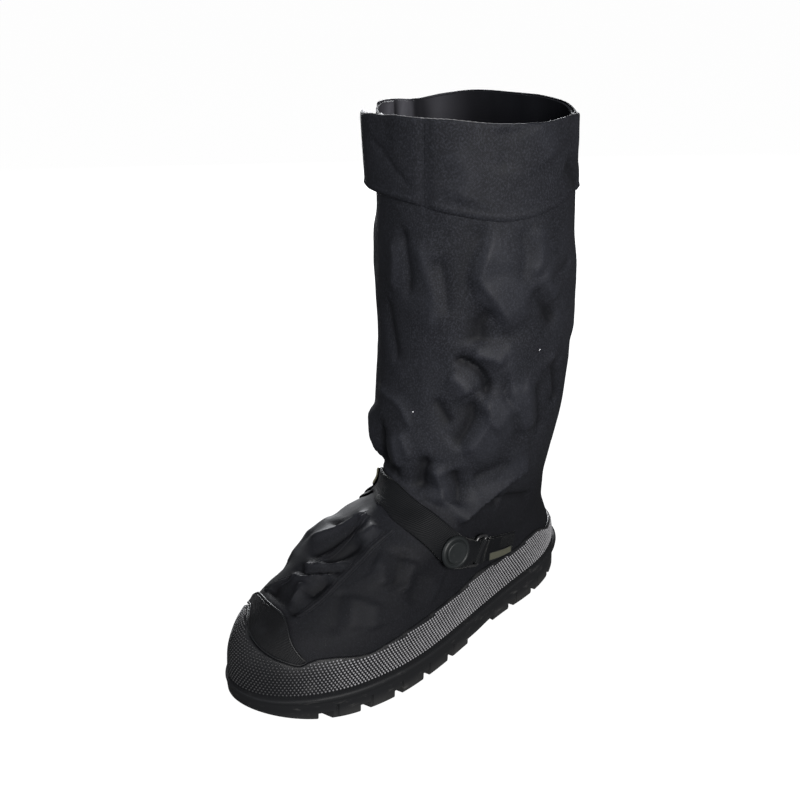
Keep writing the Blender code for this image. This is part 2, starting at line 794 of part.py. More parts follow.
def make_cutter(name, centre, size, turn, collection):
    """Box that is taken out of the tread."""
    shape = bmesh.new()
    bmesh.ops.create_cube(shape, size=1.0)
    place = Matrix.Translation(Vector(centre) * MM) @ Matrix.Rotation(turn, 4, "Z")
    bmesh.ops.transform(shape, matrix=place @ Matrix.Diagonal((*(Vector(size) * MM), 1.0)), verts=shape.verts)
    mesh = bpy.data.meshes.new(name)
    shape.to_mesh(mesh)
    shape.free()
    obj = bpy.data.objects.new(name, mesh)
    obj.hide_render = True
    obj.display_type = "WIRE"
    collection.objects.link(obj)
    return obj


def make_tread_cutters(collection):
    """Notches from both edges, and the gap under the arch."""
    below = 4.0
    gap_middle = sum(ARCH_GAP) / 2
    gap_size = (200.0, ARCH_GAP[1] - ARCH_GAP[0], ARCH_DEPTH + below)
    make_cutter("arch_gap", (0, gap_middle, (ARCH_DEPTH - below) / 2), gap_size, 0.0, collection)
    reach = 80.0
    for y in FOREFOOT_NOTCHES + HEEL_NOTCHES:
        depth = LUG_DEPTH + sole_bottom(y)
        size = (reach, NOTCH_WIDTH, depth + below)
        for side in (1, -1):
            turn = side * NOTCH_SLANT
            middle = TREAD_SPINE + reach / 2
            centre = (side * middle, y, (depth - below) / 2)
            make_cutter(f"notch_{y:.0f}_{side}", centre, size, turn, collection)


def make_outsole(collection, cutters, material):
    """Rubber outsole with its side steps; the tread is cut by boxes."""
    rings = []
    for step in SOLE_SIDE:
        ring = plan_ring(SOLE_OVERHANG - step.inset, step.heel_inset, SOLE_SHIFT, SOLE_STATIONS)
        for side, line in ring.items():
            tops = [(x, y, sole_top(y), sole_bottom(y)) for x, y in line]
            ring[side] = [(x, y, top - step.down * (top - low)) for x, y, top, low in tops]
        rings.append(ring)
    obj = make_object("outsole", stack_mesh("outsole", rings), material, collection)
    make_tread_cutters(cutters)
    cut = obj.modifiers.new("tread", "BOOLEAN")
    cut.operation = "DIFFERENCE"
    cut.operand_type = "COLLECTION"
    cut.collection = cutters
    cut.solver = "EXACT"
    return obj


def make_insole(collection, material):
    """Flat board on the outsole, inside the upper."""
    rings = []
    for lift in (SEAT_GAP + INSOLE_THICKNESS, SEAT_GAP):
        ring = plan_ring(-INSOLE_INSET, 0.0, 0.0, INSOLE_STATIONS)
        for side, line in ring.items():
            ring[side] = [(x, y, sole_top(y) + lift) for x, y in line]
        rings.append(ring)
    return make_object("insole", stack_mesh("insole", rings), material, collection)


def build():
    """Makes every piece of the overshoe."""
    for obj in list(bpy.data.objects):
        bpy.data.objects.remove(obj)
    shoe = bpy.data.collections.new("overshoe")
    cutters = bpy.data.collections.new("cutters")
    bpy.context.scene.collection.children.link(shoe)
    bpy.context.scene.collection.children.link(cutters)
    cloth = make_material("black_nylon", (0.016, 0.017, 0.020), 0.75)
    rubber = make_material("rand_rubber", (0.030, 0.031, 0.034), 0.55)
    tread = make_material("sole_rubber", (0.040, 0.041, 0.043), 0.6)
    webbing = make_material("black_webbing", (0.012, 0.013, 0.014), 0.7)
    board = make_material("insole_board", (0.060, 0.060, 0.062), 0.9)
    wire = make_material("black_wire", (0.020, 0.020, 0.021), 0.35, 1.0)
    snap = make_material("snap_finish", (0.018, 0.018, 0.020), 0.3)

    make_outsole(shoe, cutters, tread)
    make_insole(shoe, board)
    make_upper(shoe, cloth)
    make_rand(shoe, rubber)
    make_toe_cap(shoe, rubber)
    make_gusset_seam("gusset_seam_lateral", LATERAL_SEAM, shoe, cloth)
    make_gusset_seam("gusset_seam_medial", MEDIAL_SEAM, shoe, cloth)
    make_cuff(shoe, cloth)

    front_bar, rear_bar = ring_bars()
    strap_path = lift_path(STRAP_LIFT, STRAP_ROWS)
    make_ribbon("instep_strap", strap_path, shoe, webbing, STRAP_END_ROUND)
    make_ribbon("strap_tail", lift_path(TAIL_LIFT, TAIL_ROWS), shoe, webbing)
    keeper_path = loop_path(front_bar, KEEPER_START, KEEPER_RETURN, 1)
    make_ribbon("strap_keeper", keeper_path, shoe, webbing, width=LOOP_WIDTH)
    tab_path = loop_path(rear_bar, TAB_END, TAB_RETURN, -1)
    make_ribbon("ring_tab", tab_path, shoe, webbing, width=LOOP_WIDTH)
    make_ring(shoe, wire)
    make_button(strap_path, shoe, snap)


build()
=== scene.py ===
"""Finished surfaces of a black nylon overshoe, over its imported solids.

Upper, cuff and webbing are cloth pieces on the same form as the solids, with creases
from the tables of folds. Rand, toe cap, sole, ring and snap are moulded or turned. Sizes
are in millimetres until a mesh is made, where MM turns them to metres.

A place on the upper is given as around, in degrees of arc length from the middle of the
heel (0) past the lateral side (90) and the toe (180) to the medial side (270), and as
height above the floor.
"""

import json
import math
from collections import namedtuple
from functools import lru_cache

import bmesh
import bpy
import numpy as np
from mathutils import Matrix, Vector, noise

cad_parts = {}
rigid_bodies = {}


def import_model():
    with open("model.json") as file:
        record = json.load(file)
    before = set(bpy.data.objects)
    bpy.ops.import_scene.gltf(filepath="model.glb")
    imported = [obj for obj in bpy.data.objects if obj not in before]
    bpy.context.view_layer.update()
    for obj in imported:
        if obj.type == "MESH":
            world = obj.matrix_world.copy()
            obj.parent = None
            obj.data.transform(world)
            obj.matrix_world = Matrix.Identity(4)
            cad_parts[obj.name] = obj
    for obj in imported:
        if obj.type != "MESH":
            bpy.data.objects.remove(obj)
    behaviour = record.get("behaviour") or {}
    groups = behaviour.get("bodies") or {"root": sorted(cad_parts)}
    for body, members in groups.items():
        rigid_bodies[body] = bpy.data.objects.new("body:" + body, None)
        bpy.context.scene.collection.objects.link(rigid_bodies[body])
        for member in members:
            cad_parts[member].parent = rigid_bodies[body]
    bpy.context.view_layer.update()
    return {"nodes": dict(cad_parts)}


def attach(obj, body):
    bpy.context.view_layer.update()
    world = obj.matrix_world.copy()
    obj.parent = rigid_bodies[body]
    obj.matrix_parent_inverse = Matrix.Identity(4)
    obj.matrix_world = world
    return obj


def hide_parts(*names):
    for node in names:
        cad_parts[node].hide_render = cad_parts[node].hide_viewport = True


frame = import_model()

bl_info = {
    "name": "Overshoe finisher",
    "version": (1, 0, 0),
    "blender": (4, 5, 0),
    "location": "3D View > Sidebar > Overshoe",
    "description": "Builds the cloth, rubber and webbing of a tall overshoe over its solids",
    "category": "Object",
}

MM = 0.001
BODY = "root"


def rows_of(kind, *rows):
    """Rows of a table under the names of its columns."""
    return tuple(kind(*row) for row in rows)


# Driving sizes of the shoe
SHAFT_TOP = 384.0
CLOTH_WALL = 1.6
FIT_GAP = 0.4
SEAT_GAP = 0.3
ROUND_HEEL = 2.2
ROUND_TOE = 2.0
MEDIAL_WAIST = 5.0
WAIST_FADE = 90.0

# Turns sharper than these stay hard edges, in degrees
EDGE_ANGLE = 55.0
SOLE_EDGE_ANGLE = 32.0
SNAP_EDGE_ANGLE = 60.0

# The strap draws the medial side of the instep in: how round its front is there, and how far in
NoseRow = namedtuple("NoseRow", "height round drawn")
MEDIAL_NOSE = rows_of(
    NoseRow,
    (80, 2.0, 0.0), (86, 2.0, 1.6), (92, 1.95, 4.6), (94, 1.8, 5.6), (96, 1.5, 6.8),
    (98, 1.34, 8.2), (102, 1.3, 9.5), (108, 1.34, 8.0), (116, 1.52, 4.0), (126, 1.78, 1.0),
    (136, 1.92, 0.0), (146, 2.0, 0.0),
)
DRAWN_ALONG = 12.0
DRAWN_LENGTH = 24.0

# The upper's level sections: toe and back are the ends along Y, nose and round the
# lengths over which toe and heel round off, ball and heel the half widths, and lean
# the shift of the toe's tip towards the medial side.
Section = namedtuple("Section", "height toe nose ball heel back round lean")
UPPER_SECTIONS = rows_of(
    Section,
    (12, -156, 101, 55.5, 44.0, 157.0, 83, -7.5),
    (34, -154, 99, 56.5, 45.0, 156.0, 82, -7.5),
    (46, -149, 95, 55.5, 45.0, 153.0, 80, -7.5),
    (56, -140, 89, 53.5, 44.5, 149.0, 78, -6.0),
    (64, -128, 82, 50.5, 44.5, 145.5, 76, -5.0),
    (72, -114, 75, 48.0, 45.0, 143.0, 74, -4.5),
    (82, -94, 72, 46.5, 46.0, 141.5, 72, -4.0),
    (94, -67, 72, 47.0, 48.0, 140.5, 71, -3.0),
    (106, -40, 76, 49.0, 50.0, 141.0, 71, -1.0),
    (116, -20, 79, 52.0, 52.0, 141.5, 71, 0.0),
    (128, -10, 80, 55.5, 55.0, 142.0, 71, 0.0),
    (146, -11, 78, 60.0, 60.0, 142.5, 71, 0.0),
    (175, -6, 74, 65.0, 65.0, 144.5, 72, -1.0),
    (215, -1, 73, 68.0, 68.0, 146.0, 73, 0.0),
    (262, 0, 73, 68.5, 68.5, 146.0, 73, 0.0),
    (318, 1, 73, 68.0, 68.0, 143.5, 72, 0.0),
    (390, 2, 73, 67.0, 67.0, 140.0, 71, 0.0),
)
FORM_LOW = 8.0
FORM_HIGH = 396.0

# The collar's rim against the level of the shaft's top
RimPoint = namedtuple("RimPoint", "around rise")
RIM = rows_of(
    RimPoint,
    (0, 0.5), (20, -1.0), (40, -4.5), (58, -3.0), (75, -1.5), (100, -2.0), (130, -0.5), (155, 2.0),
    (185, 1.5), (202, -0.5), (220, 0.0), (240, 1.5), (260, 0.0), (280, -2.5), (300, 0.0),
    (320, 1.5), (345, 0.5), (360, 0.5),
)

# Height of the outsole's upper edge along the foot, from toe to heel
SoleEdge = namedtuple("SoleEdge", "along height")
SOLE_TOP = rows_of(
    SoleEdge,
    (-165, 24.5), (-157, 20.5), (-150, 20.0), (-105, 20.0), (-78, 20.5), (-35, 19.5), (30, 20.3),
    (60, 22.0), (89, 24.8), (115, 25.5), (136, 27.0), (165, 28.5),
)
SOLE_STATIONS = 96
SOLE_OVERHANG = 5.2
SOLE_SHIFT = 1.5
SOLE_PLAN_HEIGHT = 20.0
TOE_SPRING = 10.0
SPRING_START = -100.0
SPRING_END = -161.0

# Side of the outsole from its upper edge down: share of the side's height, inset all
# round, and inset added at the heel, where a lip stands over the lower band.
SideStep = namedtuple("SideStep", "down inset heel_inset")
SOLE_SIDE = rows_of(
    SideStep,
    (0.0, 1.7, 0.0), (0.02, 0.8, 0.0), (0.05, 0.2, 0.0), (0.09, 0.0, 0.0), (0.15, 0.0, 0.2),
    (0.19, 0.1, 0.8), (0.21, 0.3, 2.0), (0.24, 0.4, 2.6), (0.29, 0.5, 2.4), (0.90, 1.0, 1.6),
    (0.97, 1.3, 1.7), (1.0, 1.9, 1.8),
)
HEEL_LIP_FADE = (15.0, 50.0)

# Tread: notches cut in from both edges, a slot up the side at each notch, and the gap
# under the arch
LUG_DEPTH = 6.0
NOTCH_WIDTH = 7.5
NOTCH_SLANT = math.radians(14.0)
FOREFOOT_NOTCHES = (-121.0, -97.0, -71.5, -43.5, -15.0)
HEEL_NOTCHES = (70.0, 100.0, 130.0)
ARCH_GAP = (9.0, 46.0)
ARCH_DEPTH = 5.0
TREAD_SPINE = 11.0
SIDE_SLOT_WIDTH = 1.7
SIDE_SLOT_RISE = 5.0
SIDE_SLOT_DEPTH = 1.2

# Height of an edge against the way around
EdgePoint = namedtuple("EdgePoint", "around height")

# Rubber rand round the foot, by its upper edge
RAND_WALL = 1.6
STUD_EDGE = 1.6
RAND_TOP = rows_of(
    EdgePoint,
    (0, 44.5), (14, 44.8), (24.5, 46.0), (31, 51.0), (37, 53.6), (43, 53.2), (48, 51.0), (57, 50.2),
    (74.5, 51.6), (82, 49.8), (89.5, 47.9), (105, 47.0), (117, 45.9), (125.5, 44.1), (133.5, 42.0),
    (140.5, 43.6), (146.5, 45.6), (152, 46.2), (155, 45.0), (158.5, 42.4), (164.5, 44.8),
    (175.5, 50.7), (183, 54.7), (189.5, 58.0), (194, 58.6), (199, 56.4), (204, 51.8), (208, 47.4),
    (212, 44.0), (222, 43.0), (240, 45.5), (270, 48.0), (303, 48.6), (320, 47.0), (333, 45.0),
    (360, 44.5),
)

# Crescent toe cap on the upper edge of the rand
CAP_WALL = 1.8
CAP_SEAT = 0.6
CAP_TIP_HEIGHT = 1.6
CAP_TOP = rows_of(
    EdgePoint,
    (156.5, 45.6), (160, 50.2), (164, 55.2), (167.5, 59.8), (171, 63.7), (174.5, 66.4),
    (178.5, 67.6), (183, 67.8), (189, 67.1), (197, 64.2), (203, 59.0), (208, 53.0), (212, 46.2),
)
CAP_START = CAP_TOP[0].around
CAP_END = CAP_TOP[-1].around
PIPING_SECOND = 2.4
PIPING_SECOND_FROM = 178.0

# Raised seams that join the front gusset to the sides
SEAM_WALL = 0.9
SEAM_WIDTH = 7.0
LATERAL_SEAM = rows_of(
    EdgePoint,
    (170.2, 67.2), (167.5, 71.3), (166.0, 75.6), (164.0, 85.7), (163.0, 95.7), (160.8, 104.0),
)
MEDIAL_SEAM = rows_of(
    EdgePoint,
    (199.0, 65.8), (190.0, 75.0), (185.5, 79.5), (183.5, 83.4), (181.5, 88.8), (180.2, 94.0),
    (181.0, 100.0), (182.0, 107.5),
)

# Cuff: a band wrapped round the collar over a flap whose free end stands off in front
CUFF_WALL = 1.8
CUFF_RISE = 1.0
CUFF_START = -122.0
CUFF_END = 226.0
CUFF_STEP_AT = 165.0
CUFF_LAP = 9.0
CUFF_LAP_LIFT = 0.75
CUFF_STAND_OFF = 9.0
CUFF_STAND_OFF_HEM = 6.0
CUFF_FREE_FROM = 190.0
CUFF_HEM_ROLL = 0.7
CUFF_DROP = 3.0
CUFF_DROP_FROM = 204.0
CUFF_HEM = rows_of(
    EdgePoint,
    (-122, 330.0), (-90, 327.0), (-45, 322.5), (0, 322.0), (35, 326.0), (60, 330.0), (68, 330.2),
    (75, 327.9), (86, 325.6), (98, 323.0), (109, 321.4), (120, 321.0), (130, 322.4), (150, 326.9),
    (161, 329.3), (171, 330.9), (182, 331.9), (226, 332.2),
)

# Hook tape in the cuff's loose end and inside the collar, the loose edges beside it, and the start of the
# painted highlight cord along the cuff's top edge
TAPE_FROM = 199.0
TAPE_DEPTH = 27.0
TAPE_WALL = 1.1
COLLAR_TAPE = (166.0, 212.0)
COLLAR_TAPE_DEPTH = 24.0
FRAY_FROM = 208.0
FRAY_DEPTHS = (26.0, 16.0)
EDGE_HIGHLIGHT_FROM = 118.0

# Webbing over the instep: both edges of the strap, a row for each station from the
# anchor on the lateral quarter over the front of the ankle to the medial quarter
WEB_WALL = 1.3
WEB_SEAT = 0.7
StrapRow = namedtuple("StrapRow", "station upper_around upper_height lower_around lower_height")
STRAP_LINE = rows_of(
    StrapRow,
    (9, 46.5, 65.5, 47.5, 51.5),
    (8, 59, 71.6, 58, 52.0),
    (7, 74, 77.5, 71, 56.5),
    (6, 84, 83.0, 81.5, 61.5),
    (5, 104.8, 90.7, 99, 70.5),
    (4, 120, 98.6, 114.5, 82.0),
    (3, 136, 106.9, 131, 93.0),
    (2, 152, 114.1, 147.5, 101.4),
    (1, 168, 121.6, 164, 107.9),
    (0, 183, 126.8, 180, 112.2),
    (-1, 199, 126.0, 198, 111.5),
    (-2, 215, 119.5, 215.5, 105.0),
    (-3, 233.5, 109.5, 238, 93.5),
    (-4, 249, 99.5, 254, 82.5),
    (-5, 262, 91.0, 267, 71.5),
    (-6, 276, 83.0, 278.5, 61.5),
    (-7, 286, 77.5, 289, 56.5),
    (-8, 301, 70.0, 302, 51.5),
    (-9, 313.5, 62.5, 312.5, 50.5),
)
STRAP_END_ROUND = 0.6
STRAP_STEPS = 260

# Lift of the strap's lower face off the upper, where it climbs on to the keeper
Lift = namedtuple("Lift", "station lift")
STRAP_LIFT = rows_of(
    Lift,
    (-8.5, 0.4), (-5.2, 0.6), (-4.2, 1.0), (-2.4, 1.0), (-1.0, 0.8), (1.2, 0.8), (2.3, 3.0),
    (3.85, 3.1), (5.38, 8.0), (5.7, 8.0),
)
TAIL_LIFT = rows_of(
    Lift,
    (-5.6, 2.7), (-4.2, 3.3), (-3.2, 3.4), (-2.4, 3.5), (-1.85, 4.2),
)

# Wire ring on the lateral side, and the webbing looped through its two long bars
RING_STATION = 5.9
RING_ROD = 2.4
RING_LENGTH = 13.0
RING_HEIGHT = 27.0
RING_CORNER = 2.2
LOOP_RADIUS = RING_ROD / 2 + 0.9 + WEB_WALL
LOOP_WIDTH = 0.78
KEEPER_START = 2.9
KEEPER_RETURN = 4.45
TAB_END = 8.5
TAB_RETURN = 7.6

# Plain label and stitches on the tab, in stations along it and shares across it
LABEL_STATIONS = (7.05, 8.25)
LABEL_ACROSS = (-0.28, -0.86)
LABEL_WALL = 0.45
LABEL_BORDER = 0.06
TAB_BOX = ((7.1, 0.70), (7.55, 0.70), (7.55, -0.70), (7.1, -0.70), (7.1, 0.70))
ANCHOR_STITCHES = (8.15, 8.38)
ANCHOR_REACH = 0.72

# Snap on the strap's end: its half section as radius and height
BUTTON_STATION = 4.45
BUTTON_STEPS = 72
TurnPoint = namedtuple("TurnPoint", "radius height")
BUTTON_PROFILE = rows_of(
    TurnPoint,
    (0.0, 0.0), (12.0, 0.0), (12.3, 0.25), (12.4, 0.7), (12.2, 1.3), (11.8, 1.9), (11.1, 2.4),
    (10.4, 2.6), (9.8, 2.4), (9.4, 1.8), (9.1, 1.5), (8.7, 1.6), (8.5, 2.3), (8.3, 2.9),
    (7.9, 3.25), (7.3, 3.3), (6.6, 3.15), (3.0, 3.2), (0.0, 3.25),
)

# Creases of the empty shoe. Each runs through places on the upper; rise is out of the
# surface, and a trough's is below zero. left and right are how far its slopes reach on
# each side, seen from outside along the run, and crest how rounded its line is.
Fold = namedtuple("Fold", "rise left right crest places")
SHAFT_FOLDS = rows_of(
    Fold,
    (7.3, 17, 6, 0.8, ((124, 320), (132, 298), (135, 284), (128, 270), (121, 256), (117, 240))),
    (-3.5, 6, 8, 1.0, ((130, 322), (138, 302), (142, 284), (136, 266))),
    (3.2, 8, 6, 1.0, ((117, 240), (117, 222), (113, 200), (106, 174))),
    (-4.6, 8, 9, 1.5, ((127, 263), (134, 249), (134, 234))),
    (4.0, 6, 5, 0.6, ((140, 230), (129, 227), (119, 221))),
    (-6.7, 3.5, 5, 0.4, ((150, 226), (143, 224), (136, 220), (130, 211), (128, 201), (130, 192))),
    (4.0, 8, 7, 1.0, ((152, 215), (144, 208), (138, 198))),
    (6.2, 13, 3.5, 0.5, ((127, 208), (128, 192), (126, 183), (130, 169), (134, 161), (139, 155))),
    (-4.8, 4, 8, 0.8, ((137, 200), (134, 184), (138, 168), (143, 158))),
    (3.2, 9, 9, 2.0, ((124, 172), (117, 180), (112, 191))),
    (-3.2, 4, 5, 0.5, ((158, 197), (152, 186), (146, 176))),
    (3.2, 3.5, 5, 0.4, ((206, 190), (194, 189), (181, 187), (173, 178), (168, 167))),
    (2.5, 3, 5, 0.4, ((177, 168), (172, 158), (167, 146))),
    (5.2, 13, 13, 4.0, ((204, 130), (210, 146), (214, 156), (219, 170))),
    (-6.9, 6, 8, 1.0, ((197, 172), (194, 152), (192, 136), (184, 128), (174, 124))),
    (2.9, 7, 7, 1.0, ((182, 166), (179, 150), (176, 136))),
    (-5.9, 6, 6, 0.9, ((158, 156), (160, 140), (161, 130), (160, 124))),
    (5.9, 6, 6, 0.9, ((153, 148), (151, 136), (148, 124), (142, 113))),
    (-5.4, 5, 6, 0.8, ((143, 144), (140, 132), (136, 121), (131, 112))),
    (6.9, 2.0, 12, 0.4, ((80, 131), (90, 128), (99, 125), (106, 120), (115, 110), (119, 103), (118, 97))),
    (-4.0, 7, 7, 1.2, ((132, 131), (118, 136), (102, 141))),
    (-4.0, 4, 5, 0.6, ((106, 112), (97, 107), (86, 103))),
    (-3.8, 3, 4, 0.4, ((118, 219), (117, 199), (111, 184), (105, 168), (94, 146))),
    (3.5, 7, 7, 1.5, ((106, 208), (100, 184), (94, 160))),
    (-3.5, 4, 4, 0.6, ((95, 204), (88, 180), (80, 151))),
    (2.9, 6, 6, 1.2, ((86, 224), (80, 200), (74, 176))),
    (-5.4, 6, 7, 1.0, ((84, 217), (76, 195), (69, 172))),
    (-2.7, 4, 4, 0.4, ((92, 273), (78, 278), (63, 284))),
    (-4.6, 5, 7, 0.7, ((105, 274), (97, 262), (89, 251), (80, 239))),
    (3.5, 8, 6, 1.0, ((98, 284), (90, 270), (82, 258))),
    (-3.5, 2.5, 6, 0.4, ((92, 108), (70, 100), (48, 92))),
    (-3.2, 5, 5, 1.0, ((183, 317), (179, 300), (176, 280), (178, 262))),
    (2.9, 7, 7, 1.5, ((170, 312), (166, 290), (160, 268), (163, 236))),
    (-2.5, 5, 5, 1.0, ((158, 300), (154, 276), (152, 254))),
    (-2.7, 5, 5, 1.0, ((196, 264), (190, 238), (184, 212))),
    (2.5, 6, 6, 1.2, ((190, 306), (187, 286), (189, 264))),
    (2.9, 7, 7, 1.5, ((103, 319), (98, 298), (101, 278))),
    (-2.7, 6, 6, 1.0, ((112, 316), (108, 296), (112, 276))),
)
# The sides that turn away hold the same slack
FAR_FOLDS = rows_of(
    Fold,
    (2.8, 10, 14, 3.0, ((232, 316), (226, 292), (231, 266), (238, 240))),
    (-2.4, 7, 9, 3.0, ((246, 262), (238, 232), (234, 206))),
    (2.2, 8, 6, 2.0, ((258, 232), (248, 206), (240, 178))),
    (-2.6, 4, 8, 1.2, ((270, 212), (256, 196), (246, 180), (240, 162))),
    (3.0, 11, 3, 0.8, ((272, 132), (262, 124), (250, 115), (242, 106))),
    (-2.2, 6, 6, 2.0, ((262, 146), (246, 136), (232, 128))),
    (2.0, 8, 8, 3.0, ((228, 150), (222, 134), (218, 120))),
    (-2.0, 6, 6, 2.0, ((214, 146), (210, 132), (206, 122))),
    (1.8, 9, 9, 4.0, ((286, 300), (282, 262), (288, 224))),
    (-2.2, 7, 7, 3.0, ((306, 250), (296, 214), (292, 182))),
    (2.4, 12, 9, 4.0, ((330, 286), (322, 246), (330, 210))),
    (-2.4, 5, 9, 1.5, ((12, 232), (348, 214), (330, 206), (312, 190))),
    (2.6, 9, 9, 4.0, ((20, 190), (0, 180), (338, 172))),
    (-2.6, 4, 8, 1.2, ((36, 164), (10, 154), (346, 150), (326, 158))),
    (2.2, 8, 8, 3.0, ((30, 138), (5, 130), (340, 134))),
    (-2.0, 4, 7, 1.2, ((44, 118), (15, 110), (345, 112), (318, 122))),
    (-1.8, 6, 6, 2.5, ((40, 300), (30, 262), (36, 226))),
    (2.0, 9, 9, 4.0, ((58, 296), (50, 250), (56, 214))),
    (1.6, 7, 7, 3.0, ((300, 120), (288, 108), (276, 98))),
    (-1.6, 4, 6, 1.0, ((310, 104), (292, 96), (274, 88))),
    (1.4, 6, 6, 2.5, ((320, 90), (300, 82), (284, 76))),
)
VAMP_FOLDS = rows_of(
    Fold,
    (-2.6, 4.5, 5.5, 1.6, ((161, 80), (158, 75), (154, 67), (150, 57))),
    (2.0, 6, 6, 2.0, ((154, 78), (149, 69), (143, 58))),
    (2.9, 7, 7, 2.2, ((157, 91), (151, 89), (146, 84), (139, 77))),
    (-3.5, 5.5, 7, 2.0, ((145, 96), (141, 89), (137, 82), (129, 72))),
    (2.7, 6, 8, 1.8, ((134, 89), (129, 80), (125, 69))),
    (-1.8, 6, 7, 2.0, ((122, 80), (120, 70), (117, 60))),
    (1.7, 6, 7, 2.5, ((140, 72), (137, 64), (133, 55))),
    (1.7, 7, 7, 2.5, ((110, 72), (106, 65), (100, 58))),
    (-2.0, 5, 6, 1.5, ((204, 80), (208, 71), (212, 62))),
    (2.2, 7, 7, 2.5, ((206, 88), (213, 84), (222, 80))),
    (3.1, 9, 10, 6.0, ((209, 70), (211, 79), (213, 87), (218, 94))),
    (2.0, 7, 7, 2.5, ((228, 86), (231, 77), (233, 68))),
    (-1.7, 6, 7, 2.5, ((240, 80), (244, 70), (248, 61))),
    (1.4, 8, 8, 3.0, ((256, 74), (262, 66), (270, 58))),
)
GUSSET_FOLDS = rows_of(
    Fold,
    (-6.7, 4, 4, 1.0, ((195, 70), (190, 70), (182, 70.5), (174, 68.5), (171, 66))),
    (4.6, 3.5, 3.5, 0.8, ((178, 80), (177, 77), (176, 73), (176, 69))),
    (-5.1, 3, 3, 0.8, ((172, 75), (171, 78), (170, 81), (169, 84))),
    (5.1, 3, 3.5, 0.7, ((188, 78), (183, 79.7), (176.5, 82), (171.5, 84), (164, 85.5))),
    (-4.6, 3, 3, 0.7, ((190, 83), (183, 82.2), (177, 84.6), (171, 86), (166, 88))),
    (5.1, 3, 3.5, 0.7, ((187, 83), (182, 84.6), (176.5, 87.2), (172, 88.8), (166, 90.5))),
    (-6.4, 5, 5, 1.4, ((180, 88), (176, 90), (174, 93), (172, 97), (170, 100))),
    (4.6, 5, 5, 1.8, ((174, 97), (172, 100), (171, 103), (170, 106))),
    (-4.3, 4, 4, 1.0, ((190, 86), (185, 92), (182, 99), (180, 106))),
    (4.8, 4.5, 4, 0.8, ((206, 87), (196, 91), (191.5, 96), (190, 100), (187, 104), (184, 110))),
    (-3.5, 4, 4, 1.0, ((204, 94), (198, 98), (193, 104))),
)
CUFF_FOLDS = rows_of(
    Fold,
    (-1.1, 2.4, 3.5, 0.6, ((212, 371), (204, 366), (196, 361), (186, 352), (177, 344), (171, 338))),
    (2.2, 9, 10, 4.0, ((104, 386), (98, 372), (91, 356))),
    (-2.8, 6, 7, 2.5, ((80, 356), (68, 342), (57, 330))),
    (-1.3, 7, 7, 3.0, ((122, 384), (121, 368), (123, 352))),
    (1.4, 8, 8, 4.0, ((150, 372), (142, 350), (146, 332))),
    (1.8, 6, 7, 3.0, ((70, 384), (64, 366), (68, 350))),
    (-2.2, 5, 5, 2.0, ((250, 388), (251, 366), (249, 342))),
    (1.8, 4, 5, 2.0, ((258, 388), (258, 368), (256, 348))),
    (-2.4, 5, 5, 2.0, ((267, 388), (266, 364), (268, 338))),
    (1.6, 6, 6, 3.0, ((278, 388), (280, 368), (277, 345))),
    (-1.8, 6, 7, 3.0, ((300, 388), (303, 364), (299, 338))),
    (1.8, 8, 8, 4.0, ((330, 388), (326, 362), (332, 336))),
    (-1.6, 7, 7, 3.0, ((352, 388), (355, 364), (350, 336))),
    (1.6, 7, 8, 4.0, ((20, 388), (24, 362), (18, 336))),
    (-2.0, 6, 6, 2.5, ((42, 386), (46, 366), (44, 342))),
)
FOLD_GROUPS = (SHAFT_FOLDS, FAR_FOLDS, VAMP_FOLDS, GUSSET_FOLDS, CUFF_FOLDS)
FOLD_FADE = 0.22

# How far from rand, cap and strap the cloth is held flat, and the length over which it comes free
RAND_HOLD, RAND_FREE = 1.0, 9.0
CAP_HOLD, CAP_FREE = 0.5, 5.0
STRAP_HOLD, STRAP_FREE = 6.0, 4.0
STRAP_BACK = 41.0

# Flat size of each piece of cloth in metres, how it is held, and what goes with it
Cloth = namedtuple("Cloth", "piece width length area held rests_on goes_with")

# Places of the lint, around and height
LINT_PLACES = ((95.0, 225.0), (169.0, 183.0))

# The photo's view: aim point, distance, turn, height angle and roll of the camera
VIEW_AIM = (0.0, 0.0, 190.0)
VIEW_DISTANCE = 783.0
VIEW_AZIMUTH = 45.0
VIEW_ELEVATION = 23.4
VIEW_ROLL = 0.6
VIEW_LENS = 49.3
VIEW_SHIFT = (-0.0054, -0.0039)

# The pale floor turns up into a backdrop far from the shoe
FLOOR_HALF = 9.0
FLOOR_RADIUS = 5.0
FLOOR_RISE = 0.4


def smooth(keys, table, at):
    """Rows of a table at places between its rows, by a cubic that never overshoots."""
    keys = np.asarray(keys, float)
    table = np.asarray(table, float).reshape(len(keys), -1)
    at = np.clip(np.atleast_1d(np.asarray(at, float)), keys[0], keys[-1])
    rise = np.diff(table, axis=0) / np.diff(keys)[:, None]
    product = rise[:-1] * rise[1:]
    total = rise[:-1] + rise[1:]
    same_way = product > 0
    inner = np.where(same_way, 2 * product / np.where(same_way, total, 1.0), 0.0)
    slope = np.vstack([rise[:1], inner, rise[-1:]])
    i = np.clip(np.searchsorted(keys, at) - 1, 0, len(keys) - 2)
    span = (keys[i + 1] - keys[i])[..., None]
    t = (at - keys[i])[..., None] / span
    start = (2 * t**3 - 3 * t**2 + 1) * table[i] + (t**3 - 2 * t**2 + t) * span * slope[i]
    end = (3 * t**2 - 2 * t**3) * table[i + 1] + (t**3 - t**2) * span * slope[i + 1]
    return start + end


def rows_at(table, at):
    """A table's other columns at places in its first one."""
    return smooth([row[0] for row in table], [row[1:] for row in table], at)


def curve_at(table, at):
    """Value of a table of two columns at one place or many."""
    at = np.asarray(at, float)
    return rows_at(table, at.ravel())[:, 0].reshape(at.shape)


def ease(t):
    """Smooth step from 0 to 1."""
    t = np.clip(t, 0.0, 1.0)
    return t * t * (3 - 2 * t)


def run_length(points):
    """Length along a line of points, up to each of them."""
    return np.concatenate([[0], np.cumsum(np.linalg.norm(np.diff(points, axis=0), axis=1))])


